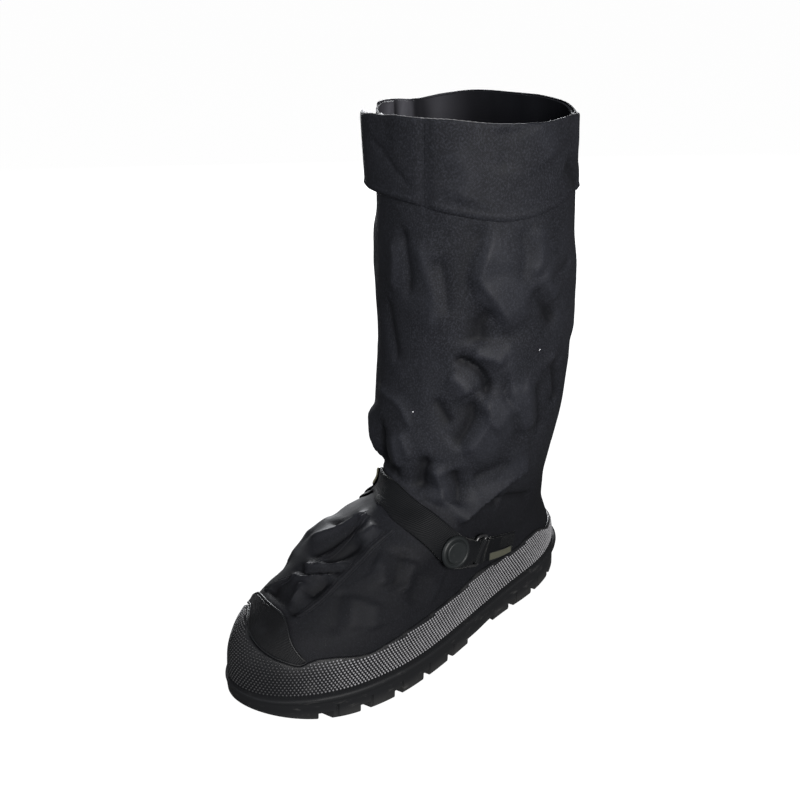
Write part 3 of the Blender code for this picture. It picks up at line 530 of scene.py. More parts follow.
def unit(vectors):
    """Vectors of length one."""
    return vectors / np.maximum(np.linalg.norm(vectors, axis=-1, keepdims=True), 1e-9)


def half_width(section, y, side):
    """Half width of a section at places along Y on one side, +1 lateral or -1 medial."""
    from_back = section.back - y
    from_toe = y - section.toe
    heel_turn = np.clip(1 - from_back / section.round, 0, 1)
    toe_turn = np.clip(1 - from_toe / section.nose, 0, 1)
    middle = section.back - section.toe - section.round - section.nose
    share = np.clip((from_back - section.round) / max(middle, 1.0), 0, 1)
    width = section.heel + (section.ball - section.heel) * ease(share)
    nose_round = ROUND_TOE
    if side < 0:
        fade = max(0.0, 1 - section.height / WAIST_FADE)
        nose_round, drawn = rows_at(MEDIAL_NOSE, section.height)[0]
        near = np.exp(-(((y - DRAWN_ALONG) / DRAWN_LENGTH) ** 2))
        width = width - MEDIAL_WAIST * fade * np.sin(np.pi * share) ** 2 - drawn * near
    width = width * (1 - heel_turn**ROUND_HEEL) ** (1 / ROUND_HEEL)
    return width * (1 - toe_turn**nose_round) ** (1 / nose_round)


def side_line(section, side, count):
    """Points in plan from the middle of the back along one side to the toe's tip."""
    share = (1 - np.cos(np.linspace(0, np.pi, count))) / 2
    y = section.back + (section.toe - section.back) * share
    toe_turn = np.clip(1 - (y - section.toe) / section.nose, 0, 1)
    x = section.lean * toe_turn**2 + side * half_width(section, y, side)
    return np.stack([x, y], axis=1)


@lru_cache(maxsize=None)
def form_table():
    """Points and outward directions of the upper's form, at each millimetre and degree."""
    heights = np.arange(FORM_LOW, FORM_HIGH + 0.5)
    rows = rows_at(UPPER_SECTIONS, heights)
    degrees = np.arange(361.0)
    points = np.empty((len(heights), 361, 3))
    for r, (height, row) in enumerate(zip(heights, rows)):
        section = Section(height, *row)
        points[r, :, 2] = height
        for side, columns in ((1, slice(0, 181)), (-1, slice(180, 361))):
            line = side_line(section, side, 240)
            length = run_length(line)
            share = degrees[columns] / 180 if side > 0 else (360 - degrees[columns]) / 180
            for axis in (0, 1):
                points[r, columns, axis] = np.interp(share, length / length[-1], line[:, axis])
    wide = np.concatenate([points[:, -3:-1], points, points[:, 1:3]], axis=1)
    across = wide[:, 4:] - wide[:, :-4]
    normals = unit(np.cross(np.gradient(points, axis=0), across))
    return points, normals


def skin(around, height, lift=0.0):
    """Points that stand a given distance off the upper's plain form."""
    points, normals = form_table()
    around, height, lift = np.broadcast_arrays(np.asarray(around, float) % 360, height, lift)
    row = np.clip(height - FORM_LOW, 0, len(points) - 1.001)
    r = row.astype(int)
    c = around.astype(int)
    up = (row - r)[..., None]
    along = (around - c)[..., None]

    def between(table):
        low = table[r, c] * (1 - along) + table[r, c + 1] * along
        high = table[r + 1, c] * (1 - along) + table[r + 1, c + 1] * along
        return low * (1 - up) + high * up

    return between(points) + lift[..., None] * between(normals)


def skin_out(around, height):
    """Outward directions of the upper's plain form."""
    return unit(skin(around, height, 1.0) - skin(around, height, 0.0))


def off_back(around):
    """Degrees from the middle of the heel, the same on both sides."""
    around = np.asarray(around, float) % 360
    return np.where(around <= 180, around, 360 - around)


def sole_top(y):
    """Height of the outsole's upper face at places along Y."""
    return curve_at(SOLE_TOP, y)


def sole_bottom(y):
    """Height of the tread at places along Y: flat, then rising with the toe spring."""
    share = np.maximum(0.0, (SPRING_START - np.asarray(y, float)) / (SPRING_START - SPRING_END))
    return TOE_SPRING * share**2


def foot_edge(around, lift=0.0):
    """Height where the upper, or a piece that stands off it, meets the outsole."""
    height = np.full(np.shape(around), SOLE_PLAN_HEIGHT)
    for _ in range(4):
        height = sole_top(skin(around, height, lift)[..., 1]) + SEAT_GAP
    return height


def rand_top(around):
    """Height of the rand's upper edge."""
    return curve_at(RAND_TOP, np.asarray(around, float) % 360)


def cap_low(around):
    """Height of the toe cap's lower edge."""
    return rand_top(around) + CAP_SEAT


def cap_high(around):
    """Height of the toe cap's upper edge."""
    return np.maximum(curve_at(CAP_TOP, around), cap_low(around) + CAP_TIP_HEIGHT)


def rim_top(around):
    """Height of the collar's rim."""
    return SHAFT_TOP + curve_at(RIM, np.asarray(around, float) % 360)


def strap_edges(around):
    """Heights of the strap's lower and upper edge."""
    around = np.asarray(around, float) % 360
    lower = [(row.lower_around, row.lower_height) for row in STRAP_LINE]
    upper = [(row.upper_around, row.upper_height) for row in STRAP_LINE]
    return np.interp(around, *zip(*lower)), np.interp(around, *zip(*upper))


def held_down(around, height):
    """Share of the creases that is left where rand, cap or strap hold the cloth flat."""
    free = ease((height - rand_top(around) - RAND_HOLD) / RAND_FREE)
    on_cap = (around % 360 > CAP_START - 1.0) & (around % 360 < CAP_END + 1.0)
    free = np.where(on_cap, free * ease((height - cap_high(around) - CAP_HOLD) / CAP_FREE), free)
    low, high = strap_edges(around)
    under = ease((height - low + STRAP_HOLD) / STRAP_FREE) * ease((high + STRAP_HOLD - height) / STRAP_FREE)
    under = under * ease((off_back(around) - STRAP_BACK) / STRAP_FREE)
    return free * (1 - under)


def fold_line(fold):
    """Close points along a fold, the directions to its left, and the share of its run at each."""
    around, height = (np.array(column, float) for column in zip(*fold.places))
    around = np.degrees(np.unwrap(np.radians(around)))
    share = np.linspace(0, 1, len(around))
    fine = np.linspace(0, 1, 14 * (len(around) - 1) + 1)
    around = smooth(share, around, fine)[:, 0]
    height = smooth(share, height, fine)[:, 0]
    points = skin(around, height)
    out = skin_out(around, height)
    left = unit(np.cross(out, np.gradient(points, axis=0)))
    return points, left, fine


def fold_height(fold, places):
    """Rise that one fold gives at each of a list of points."""
    line, left, share = fold_line(fold)
    reach = 4.0 * max(fold.left, fold.right) + fold.crest
    near = np.all((places > line.min(axis=0) - reach) & (places < line.max(axis=0) + reach), axis=1)
    rise = np.zeros(len(places))
    if not near.any():
        return rise
    gap = places[near][:, None, :] - line[None, :, :]
    closest = np.argmin((gap**2).sum(axis=2), axis=1)
    gap = gap[np.arange(len(gap)), closest]
    away = np.linalg.norm(gap, axis=1)
    slope = np.where((gap * left[closest]).sum(axis=1) > 0, fold.left, fold.right)
    shape = np.exp(-(np.sqrt(away**2 + fold.crest**2) - fold.crest) / slope)
    t = share[closest]
    rise[near] = fold.rise * shape * ease(t / FOLD_FADE) * ease((1 - t) / FOLD_FADE)
    return rise


def wrinkle(places, depth):
    """Fine irregular slack of thin cloth, with crisp lines where it buckles."""
    rise = np.empty(len(places))
    for i, place in enumerate(places):
        x, y, z = place
        broad = noise.noise(Vector((x * 0.021 + z * 0.010, y * 0.021, z * 0.016)))
        fine = noise.noise(Vector((x * 0.060 - z * 0.025 + 7.0, y * 0.060 + z * 0.02, z * 0.038)))
        buckle = noise.noise(Vector((x * 0.034 + z * 0.022 + 3.0, y * 0.034 - z * 0.016, z * 0.024 + 5.0)))
        rise[i] = broad + 0.45 * fine + 1.3 * (0.25 - abs(buckle))
    return depth * rise


def relief(around, height, sizes):
    """How far the creased cloth stands off its plain form."""
    shape = np.broadcast_shapes(np.shape(around), np.shape(height))
    around = np.broadcast_to(np.asarray(around, float), shape).ravel()
    height = np.broadcast_to(np.asarray(height, float), shape).ravel()
    places = skin(around, height)
    rise = wrinkle(places, sizes.wrinkle_depth / MM)
    for group in FOLD_GROUPS:
        for fold in group:
            rise = rise + sizes.fold_strength * fold_height(fold, places)
    return (rise * held_down(around, height)).reshape(shape)


def sheet_faces(rows, columns, around):
    """Quads of a grid of points, and the same quads on a grid whose ends don't join."""
    wide = columns + 1 if around else columns
    flat = np.arange(rows * wide).reshape(rows, wide)
    joined = (np.arange(rows)[:, None] * columns) + (np.arange(wide) % columns)[None, :]
    quads = []
    for index in (joined, flat):
        corners = (index[:-1, :-1], index[:-1, 1:], index[1:, 1:], index[1:, :-1])
        quads.append(np.stack(corners, axis=-1).reshape(-1, 4))
    return quads, joined, flat


def build_mesh(name, points, faces, chart=None, chart_faces=None, values=None, slots=None):
    """Smooth mesh from arrays, with a UV map, point values and material slots."""
    mesh = bpy.data.meshes.new(name)
    mesh.from_pydata((np.asarray(points) * MM).tolist(), [], [list(face) for face in faces])
    if chart is not None:
        layer = mesh.uv_layers.new(name="UVMap")
        layer.data.foreach_set("uv", (chart[np.concatenate(chart_faces)] * MM).astype(np.float32).ravel())
    for key, data in (values or {}).items():
        store = mesh.attributes.new(key, "FLOAT", "POINT")
        store.data.foreach_set("value", np.asarray(data, np.float32).ravel())
    if slots is not None:
        mesh.polygons.foreach_set("material_index", np.asarray(slots, np.int32))
    mesh.shade_smooth()
    mesh.update()
    return mesh


def sheet_mesh(name, grid, chart, around=False, values=None):
    """Open sheet through a grid of points."""
    rows, columns = grid.shape[:2]
    (faces, chart_faces), _, _ = sheet_faces(rows, columns, around)
    return build_mesh(name, grid.reshape(-1, 3), faces, chart.reshape(-1, 2), chart_faces, values)


def shell_mesh(name, outer, inner, outer_chart, inner_chart=None, around=False, values=None):
    """Closed wall between two sheets of points; around joins the ends of every row.

    The inner face has the second material slot. Sheets that go around may have unlike
    numbers of rows, and others have the same. values holds the outer and inner points'.
    """
    inner_chart = outer_chart if inner_chart is None else inner_chart
    (faces, chart_faces), front, front_chart = sheet_faces(*outer.shape[:2], around)
    (back_faces, back_chart_faces), back, back_chart = sheet_faces(*inner.shape[:2], around)
    start = outer[..., 0].size
    chart_start = outer_chart[..., 0].size
    back = back + start
    back_chart = back_chart + chart_start
    quads = [faces, (back_faces + start)[:, ::-1]]
    chart_quads = [chart_faces, (back_chart_faces + chart_start)[:, ::-1]]

    def strip(first, second):
        return np.stack([first[:-1], first[1:], second[1:], second[:-1]], axis=-1)

    edges = [(lambda grid: grid[0][::-1]), (lambda grid: grid[-1])]
    if not around:
        edges += [(lambda grid: grid[:, 0]), (lambda grid: grid[::-1, -1])]
    for edge in edges:
        quads.append(strip(edge(front), edge(back)))
        chart_quads.append(strip(edge(front_chart), edge(back_chart)))
    slots = np.concatenate([np.full(len(part), k == 1) for k, part in enumerate(quads)])
    values = {key: np.concatenate([np.ravel(part) for part in pair]) for key, pair in (values or {}).items()}
    points = np.concatenate([outer.reshape(-1, 3), inner.reshape(-1, 3)])
    charts = np.concatenate([outer_chart.reshape(-1, 2), inner_chart.reshape(-1, 2)])
    faces = np.concatenate(quads)
    chart_faces = np.concatenate(chart_quads)
    corners = points[faces]
    whole = np.einsum("ij,ij->i", corners[:, 0], np.cross(corners[:, 1], corners[:, 2]))
    whole = whole + np.einsum("ij,ij->i", corners[:, 0], np.cross(corners[:, 2], corners[:, 3]))
    if whole.sum() < 0:
        faces = faces[:, ::-1]
        chart_faces = chart_faces[:, ::-1]
    mesh = build_mesh(name, points, faces, charts, chart_faces, values, slots)
    mesh.set_sharp_from_angle(angle=math.radians(EDGE_ANGLE))
    return mesh


def grid_chart(grid, around=False):
    """UV of a grid in millimetres: along its middle row, and up each column."""
    if around:
        grid = np.concatenate([grid, grid[:, :1]], axis=1)
    along = run_length(grid[len(grid) // 2])
    up = np.linalg.norm(np.diff(grid, axis=0), axis=2)
    up = np.concatenate([np.zeros((1, grid.shape[1])), np.cumsum(up, axis=0)])
    return np.stack([np.broadcast_to(along, up.shape), up], axis=-1)


def grid_out(grid):
    """Directions square to a grid, by its columns across its rows."""
    return unit(np.cross(np.gradient(grid, axis=1), np.gradient(grid, axis=0)))


def face_out(mesh, fill=False):
    """Turns every face of a mesh outwards, after its holes are filled if asked."""
    shape = bmesh.new()
    shape.from_mesh(mesh)
    if fill:
        bmesh.ops.holes_fill(shape, edges=[edge for edge in shape.edges if edge.is_boundary], sides=0)
    bmesh.ops.recalc_face_normals(shape, faces=shape.faces)
    shape.to_mesh(mesh)
    shape.free()


def tube_mesh(name, points, radius, sides=10, closed=False):
    """Round wire through points; radius is one number or one for each point."""
    points = np.asarray(points, float)
    if closed:
        ahead = np.roll(points, -1, axis=0) - np.roll(points, 1, axis=0)
    else:
        ahead = np.gradient(points, axis=0)
    ahead = unit(ahead)
    side = np.empty_like(points)
    last = Vector(ahead[0]).orthogonal()
    for i, way in enumerate(ahead):
        last = last - Vector(way) * last.dot(Vector(way))
        last.normalize()
        side[i] = last
    other = np.cross(ahead, side)
    angles = np.linspace(0, 2 * math.pi, sides, endpoint=False)
    radius = np.broadcast_to(radius, len(points))[:, None, None]
    ring = np.cos(angles)[None, :, None] * side[:, None] + np.sin(angles)[None, :, None] * other[:, None]
    grid = points[:, None] + radius * ring
    if closed:
        grid = np.concatenate([grid, grid[:1]])
    chart = grid_chart(grid, around=True)
    (faces, chart_faces), joined, flat = sheet_faces(*grid.shape[:2], True)
    faces = [list(face) for face in faces]
    chart_faces = [list(face) for face in chart_faces]
    if closed:
        count = len(points) * sides
        faces = [[index % count for index in face] for face in faces]
        grid = grid[:-1]
    else:
        faces += [list(joined[0, :-1][::-1]), list(joined[-1, :-1])]
        chart_faces += [list(flat[0, :-1][::-1]), list(flat[-1, :-1])]
    mesh = build_mesh(name, grid.reshape(-1, 3), faces, chart.reshape(-1, 2), chart_faces)
    face_out(mesh)
    return mesh


def join_meshes(name, meshes):
    """One mesh from several, with their UV maps and values."""
    shape = bmesh.new()
    for mesh in meshes:
        shape.from_mesh(mesh)
    joined = bpy.data.meshes.new(name)
    shape.to_mesh(joined)
    shape.free()
    for mesh in meshes:
        bpy.data.meshes.remove(mesh)
    joined.shade_smooth()
    return joined


def new_object(name, data):
    """Object in the scene."""
    obj = bpy.data.objects.new(name, data)
    bpy.context.scene.collection.objects.link(obj)
    return obj


def add_piece(name, mesh, finishes, nodes=()):
    """Sets a finished mesh on the shoe and ties it to the frame."""
    if mesh.materials:
        mesh.materials.clear()
    for finish in finishes:
        mesh.materials.append(finish)
    obj = new_object(name, mesh)
    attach(obj, BODY)
    if nodes:
        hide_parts(*nodes)


class Socket:
    """Output of a node. Arithmetic on it adds Math nodes to its tree."""

    def __init__(self, tree, socket):
        self.tree = tree
        self.socket = socket

    def math(self, operation, first, second=0.0):
        return self.tree.node("ShaderNodeMath", {"operation": operation}, {0: first, 1: second})[0]

    def __add__(self, other):
        return self.math("ADD", self, other)

    def __radd__(self, other):
        return self.math("ADD", other, self)

    def __sub__(self, other):
        return self.math("SUBTRACT", self, other)

    def __rsub__(self, other):
        return self.math("SUBTRACT", other, self)

    def __mul__(self, other):
        return self.math("MULTIPLY", self, other)

    def __rmul__(self, other):
        return self.math("MULTIPLY", other, self)

    def sine(self):
        return self.math("SINE", self)


class Tree:
    """Node tree whose nodes all come from one method."""

    def __init__(self, tree):
        self.tree = tree

    def node(self, kind, settings=None, inputs=None):
        """Adds a node, sets it up, fills its sockets and gives its outputs."""
        made = self.tree.nodes.new(kind)
        for name, value in (settings or {}).items():
            setattr(made, name, value)
        for key, value in (inputs or {}).items():
            self.feed(made.inputs[key], value)
        return [Socket(self, output) for output in made.outputs]

    def feed(self, socket, value):
        """Links or sets one input."""
        if isinstance(value, Socket):
            self.tree.links.new(value.socket, socket)
        else:
            socket.default_value = value


class Finish(Tree):
    """Material written as expressions on its surface."""

    def __init__(self, name):
        self.material = bpy.data.materials.new(name)
        self.material.use_nodes = True
        super().__init__(self.material.node_tree)
        self.shader = self.tree.nodes["Principled BSDF"]

    def surface(self, colour, rough, normal=None, specular=0.5, more=None):
        """Sets or links the shader's own sockets."""
        values = {"Base Color": colour, "Roughness": rough, "Specular IOR Level": specular}
        if normal is not None:
            values["Normal"] = normal
        values.update(more or {})
        for name, value in values.items():
            self.feed(self.shader.inputs[name], value)
        return self.material

    def place(self):
        return self.node("ShaderNodeTexCoord")[3]

    def axes(self):
        """The place on the shoe as three numbers."""
        return self.node("ShaderNodeSeparateXYZ", {}, {0: self.place()})

    def chart(self):
        uv = self.node("ShaderNodeTexCoord")[2]
        return self.node("ShaderNodeSeparateXYZ", {}, {0: uv})[:2]

    def value(self, name):
        return self.node("ShaderNodeAttribute", {"attribute_name": name})[2]

    def noise(self, scale, detail=3.0, roughness=0.5):
        """Cloudy value from 0 to 1; scale is one number or one for each axis."""
        vector = self.place()
        if isinstance(scale, tuple):
            vector = self.node("ShaderNodeVectorMath", {"operation": "MULTIPLY"}, {0: vector, 1: scale})[0]
            scale = 1.0
        inputs = {"Vector": vector, "Scale": scale, "Detail": detail, "Roughness": roughness}
        return self.node("ShaderNodeTexNoise", {}, inputs)[0]

    def wave(self, value, pitch):
        """Sine along a length, with a pitch in millimetres."""
        return (value * (2 * math.pi / (pitch * MM))).sine()

    def span(self, value, low, high, start=0.0, end=1.0):
        """Smooth change from start to end as a value goes from low to high."""
        inputs = {"Value": value, "From Min": low, "From Max": high, "To Min": start, "To Max": end}
        return self.node("ShaderNodeMapRange", {"interpolation_type": "SMOOTHSTEP"}, inputs)[0]

    def blend(self, factor, first, second):
        """Mix of two colours."""
        first = first if isinstance(first, Socket) else (*first[:3], 1.0)
        second = second if isinstance(second, Socket) else (*second[:3], 1.0)
        return self.node("ShaderNodeMix", {"data_type": "RGBA"}, {0: factor, 6: first, 7: second})[2]

    def shades(self, factor, colour, dark, light):
        """One colour, from its darker shade to its lighter one."""
        return self.blend(factor, tint(colour, dark), tint(colour, light))

    def bump(self, height, distance, strength=1.0, normal=None):
        """Normal from a height of 0 to 1 that stands for a distance in millimetres."""
        inputs = {"Height": height, "Distance": distance * MM, "Strength": strength}
        if normal is not None:
            inputs["Normal"] = normal
        return self.node("ShaderNodeBump", {}, inputs)[0]


def tint(colour, gain):
    """A colour made lighter or darker."""
    return tuple(min(1.0, channel * gain) for channel in colour[:3])


def shared(name, make, colours):
    """A material by its name, made the first time."""
    return bpy.data.materials.get(name) or make(name, colours)


def nylon_finish(name, colours):
    """Dull woven nylon, cloudy with dust and darker towards the bottom; its fold crests are paler from wear
    and painted highlight, and its troughs hold painted shade.
    """
    finish = Finish(name)
    nylon = colours.nylon
    u, v = finish.chart()
    weave = finish.wave(u, 1.2) * finish.wave(v, 1.2)
    grain = finish.noise((1000.0, 1000.0, 760.0), 2.0, 0.6)
    cloud = finish.noise(16.0, 5.0, 0.6)
    streak = finish.noise((60.0, 60.0, 18.0), 4.0, 0.6)
    crumple = finish.noise((95.0, 95.0, 60.0), 4.0, 0.55)
    speck = finish.span(finish.noise(900.0, 1.0), 0.74, 0.80)
    # Fold crests: partly wear, partly painted highlight
    wear_and_painted_highlight = finish.span(finish.value("fold"), 0.3, 3.0)
    # Fold troughs: painted shade in the creases
    painted_crease_shade = finish.span(finish.value("fold"), -0.4, -3.6)
    low = finish.span(finish.axes()[2], 0.145, 0.075)
    base = finish.shades(finish.span(cloud, 0.35, 0.70), nylon, 0.78, 1.15)
    base = finish.blend(wear_and_painted_highlight * 0.55, base, tint(nylon, 1.75))
    base = finish.blend(finish.span(grain + weave * 0.10, 0.42, 0.74) * 0.7, base, tint(nylon, 2.9))
    base = finish.blend(painted_crease_shade * 0.75, base, tint(nylon, 0.4))
    base = finish.blend(low * 0.7, base, tint(nylon, 0.35))
    base = finish.blend(speck * 0.15, base, colours.dust)
    rough = 0.48 + low * 0.06 + cloud * 0.16 + streak * 0.10 + grain * 0.10 - wear_and_painted_highlight * 0.08
    normal = finish.bump(crumple, 0.9, 0.45)
    normal = finish.bump(weave * 0.5 + 0.5, 0.09, 0.5, normal)
    return finish.surface(base, rough, normal, 0.10)


def lining_finish(name, colours):
    """Grey brushed lining of the shaft, lighter at the loop panel in front, with painted shade where its
    creases are hollow from inside.
    """
    finish = Finish(name)
    across, along, up = finish.axes()
    nap = finish.noise(1400.0, 2.0)
    cloud = finish.noise(22.0, 4.0, 0.6)
    panel = finish.span(up, 0.330, 0.338) * finish.span(across + along * 0.6, 0.030, -0.035)
    base = finish.shades(cloud, colours.lining, 0.8, 1.2)
    base = finish.blend(panel * (0.75 + nap * 0.25), base, colours.loop_panel)
    # Painted shade in the lining's creases, where the cloth is hollow from inside
    painted_lining_shade = finish.span(finish.value("fold"), -0.4, 1.4)
    base = finish.blend(painted_lining_shade * 0.85, base, tint(colours.lining, 0.8))
    return finish.surface(base, 0.85 - cloud * 0.15, finish.bump(nap, 0.25, 0.6), 0.05)


def rand_finish(name, colours):
    """Black rubber of rand and piping: half gloss, finely pebbled, dusty in places."""
    finish = Finish(name)
    cloud = finish.noise(28.0, 5.0, 0.6)
    dust = finish.span(finish.noise(70.0, 4.0, 0.65), 0.50, 0.72)
    u, v = finish.chart()
    pebble = finish.wave(u + v, 1.15) * finish.wave(u - v, 1.15) * 0.5 + 0.5
    base = finish.shades(cloud, colours.rand, 0.8, 1.25)
    base = finish.blend(dust * 0.07, base, colours.dust)
    normal = finish.bump(finish.noise(420.0, 3.0), 0.12, 0.5)
    normal = finish.bump(pebble, 0.16, 0.55, normal)
    return finish.surface(base, 0.36 + dust * 0.18 + cloud * 0.08, normal, 0.20)


def cap_finish(name, colours):
    """Black rubber of the cap's face, with a fine woven print."""
    finish = Finish(name)
    u, v = finish.chart()
    cloud = finish.noise(28.0, 5.0, 0.6)
    print_face = finish.wave(u + v * 0.4, 1.9) * finish.wave(v - u * 0.4, 1.9) * 0.5 + 0.5
    pale_patch = finish.span(finish.noise(60.0, 4.0, 0.65), 0.48, 0.70)
    base = finish.shades(cloud, colours.rand, 0.4, 0.75)
    base = finish.blend(pale_patch * print_face * 0.5, base, tint(colours.rand, 2.5))
    return finish.surface(base, 0.50 + cloud * 0.12, finish.bump(print_face, 0.22, 0.8), 0.10)


def knurl_finish(name, colours):
    """The rand's raised grip: stud tops paler and shinier, partly rubbed rubber and partly painted
    highlight, fading towards the toe.
    """
    finish = Finish(name)
    # Pale stud tops: partly rubbed rubber, partly painted highlight; the next line fades them out towards
    # the toe
    pale_patch = finish.span(finish.noise(38.0, 4.0, 0.6), 0.25, 0.60, 0.78, 1.0)
    pale_patch = pale_patch * finish.span(finish.axes()[1], -0.150, -0.095, 0.06, 1.0)
    grain = finish.noise(600.0, 2.0)
    base = finish.blend(pale_patch, colours.rand, colours.knurl)
    return finish.surface(base, 0.44 - pale_patch * 0.12 + grain * 0.10, finish.bump(grain, 0.08, 0.4), 0.3)


def sole_finish(name, colours):
    """Dark grey moulded rubber, matt with dust towards the tread."""
    finish = Finish(name)
    cloud = finish.noise(30.0, 5.0, 0.6)
    grain = finish.noise(800.0, 3.0, 0.6)
    scuff = finish.span(finish.noise((70.0, 70.0, 240.0), 5.0, 0.7), 0.56, 0.74)
    low = finish.span(finish.axes()[2], 0.012, 0.0)
    base = finish.shades(cloud, colours.sole, 0.85, 1.15)
    base = finish.blend(scuff * 0.25 + low * cloud * 0.30, base, colours.dust)
    edge = finish.node("ShaderNodeBevel", {"samples": 4}, {"Radius": 0.6 * MM})[0]
    normal = finish.bump(grain, 0.10, 0.5, edge)
    return finish.surface(base, 0.52 + cloud * 0.12 + scuff * 0.12, normal, 0.15)


def webbing_finish(name, colours):
    """Twill webbing: fine slanting ribs, and a pale heat-cut edge at loose ends."""
    finish = Finish(name)
    u, v = finish.chart()
    twill = finish.wave(u + v * 0.85, 1.5) * 0.5 + 0.5
    threads = finish.wave(v, 0.75) * 0.5 + 0.5
    cloud = finish.noise(35.0, 4.0, 0.6)
    crown = twill * (0.6 + threads * 0.4)
    base = finish.shades(crown * 0.8 + cloud * 0.2, colours.webbing, 0.55, 1.7)
    base = finish.blend(finish.value("cut"), base, colours.cut_edge)
    rough = 0.62 - crown * 0.14 + cloud * 0.08
    sheen = {"Sheen Weight": 0.05, "Sheen Roughness": 0.25}
    return finish.surface(base, rough, finish.bump(crown, 0.30, 0.75), 0.10, sheen)


def wire_finish(name, colours):
    """Black coated wire with rubbed, brighter patches."""
    finish = Finish(name)
    pale_patch = finish.span(finish.noise(160.0, 4.0, 0.6), 0.52, 0.70)
    base = finish.blend(pale_patch * 0.5, colours.wire, tint(colours.wire, 4.0))
    normal = finish.bump(finish.noise(900.0, 2.0), 0.03, 0.3)
    return finish.surface(base, 0.30 + pale_patch * 0.15, normal, 0.6)


def snap_finish(name, colours):
    """Half gloss moulded snap with light scuffs."""
    finish = Finish(name)
    cloud = finish.noise(140.0, 4.0, 0.6)
    scuff = finish.span(finish.noise(420.0, 5.0, 0.7), 0.60, 0.74)
    base = finish.shades(cloud, colours.snap, 0.85, 1.2)
    base = finish.blend(scuff * 0.2, base, colours.dust)
    normal = finish.bump(finish.noise(1200.0, 2.0), 0.03, 0.35)
    return finish.surface(base, 0.40 + cloud * 0.10 + scuff * 0.15, normal, 0.22)


def felt_finish(name, colours):
    """Dark pressed felt of the insole board."""
    finish = Finish(name)
    fibre = finish.noise(1100.0, 4.0, 0.7)
    cloud = finish.noise(40.0, 4.0, 0.6)
    base = finish.shades(cloud * 0.6 + fibre * 0.4, colours.felt, 0.7, 1.4)
    return finish.surface(base, 0.95 - cloud * 0.1, finish.bump(fibre, 0.3, 0.7), 0.2)


def twisted_finish(name, colour):
    """Twisted look of one colour, for sewing thread, loose fibre and the cord of painted highlight."""
    finish = Finish(name)
    twist = finish.noise((2600.0, 2600.0, 2600.0), 2.0)
    return finish.surface(finish.shades(twist, colour, 0.75, 1.25), 0.55 + twist * 0.2, specular=0.1)


def tape_finish(name, colours):
    """Pale hook tape: rows of fine hooks on a woven ground."""
    finish = Finish(name)
    u, v = finish.chart()
    hooks = (finish.wave(u, 1.3) * 0.5 + 0.5) * (finish.wave(v, 1.3) * 0.5 + 0.5)
    cloud = finish.noise(60.0, 4.0, 0.6)
    base = finish.shades(hooks * 0.6 + cloud * 0.4, colours.tape, 0.62, 1.0)
    return finish.surface(base, 0.7 - cloud * 0.1, finish.bump(hooks, 0.5, 0.8), 0.4)


def label_finish(name, colours):
    """Plain woven label with a darker border and no marks."""
    finish = Finish(name)
    u, v = finish.chart()
    weave = finish.wave(u, 0.5) * finish.wave(v, 0.5) * 0.5 + 0.5
    base = finish.shades(weave, colours.label, 0.75, 1.15)
    base = finish.blend(finish.value("border"), base, tint(colours.webbing, 1.5))
    return finish.surface(base, 0.6 + weave * 0.15, finish.bump(weave, 0.15, 0.6))


def floor_finish(name, colours):
    """Pale matt studio floor."""
    finish = Finish(name)
    base = finish.shades(finish.noise(3.0, 2.0), colours.floor, 0.995, 1.0)
    glow = {"Emission Color": (1.0, 1.0, 1.0, 1.0), "Emission Strength": 0.97}
    return finish.surface(base, 0.9, specular=0.1, more=glow)


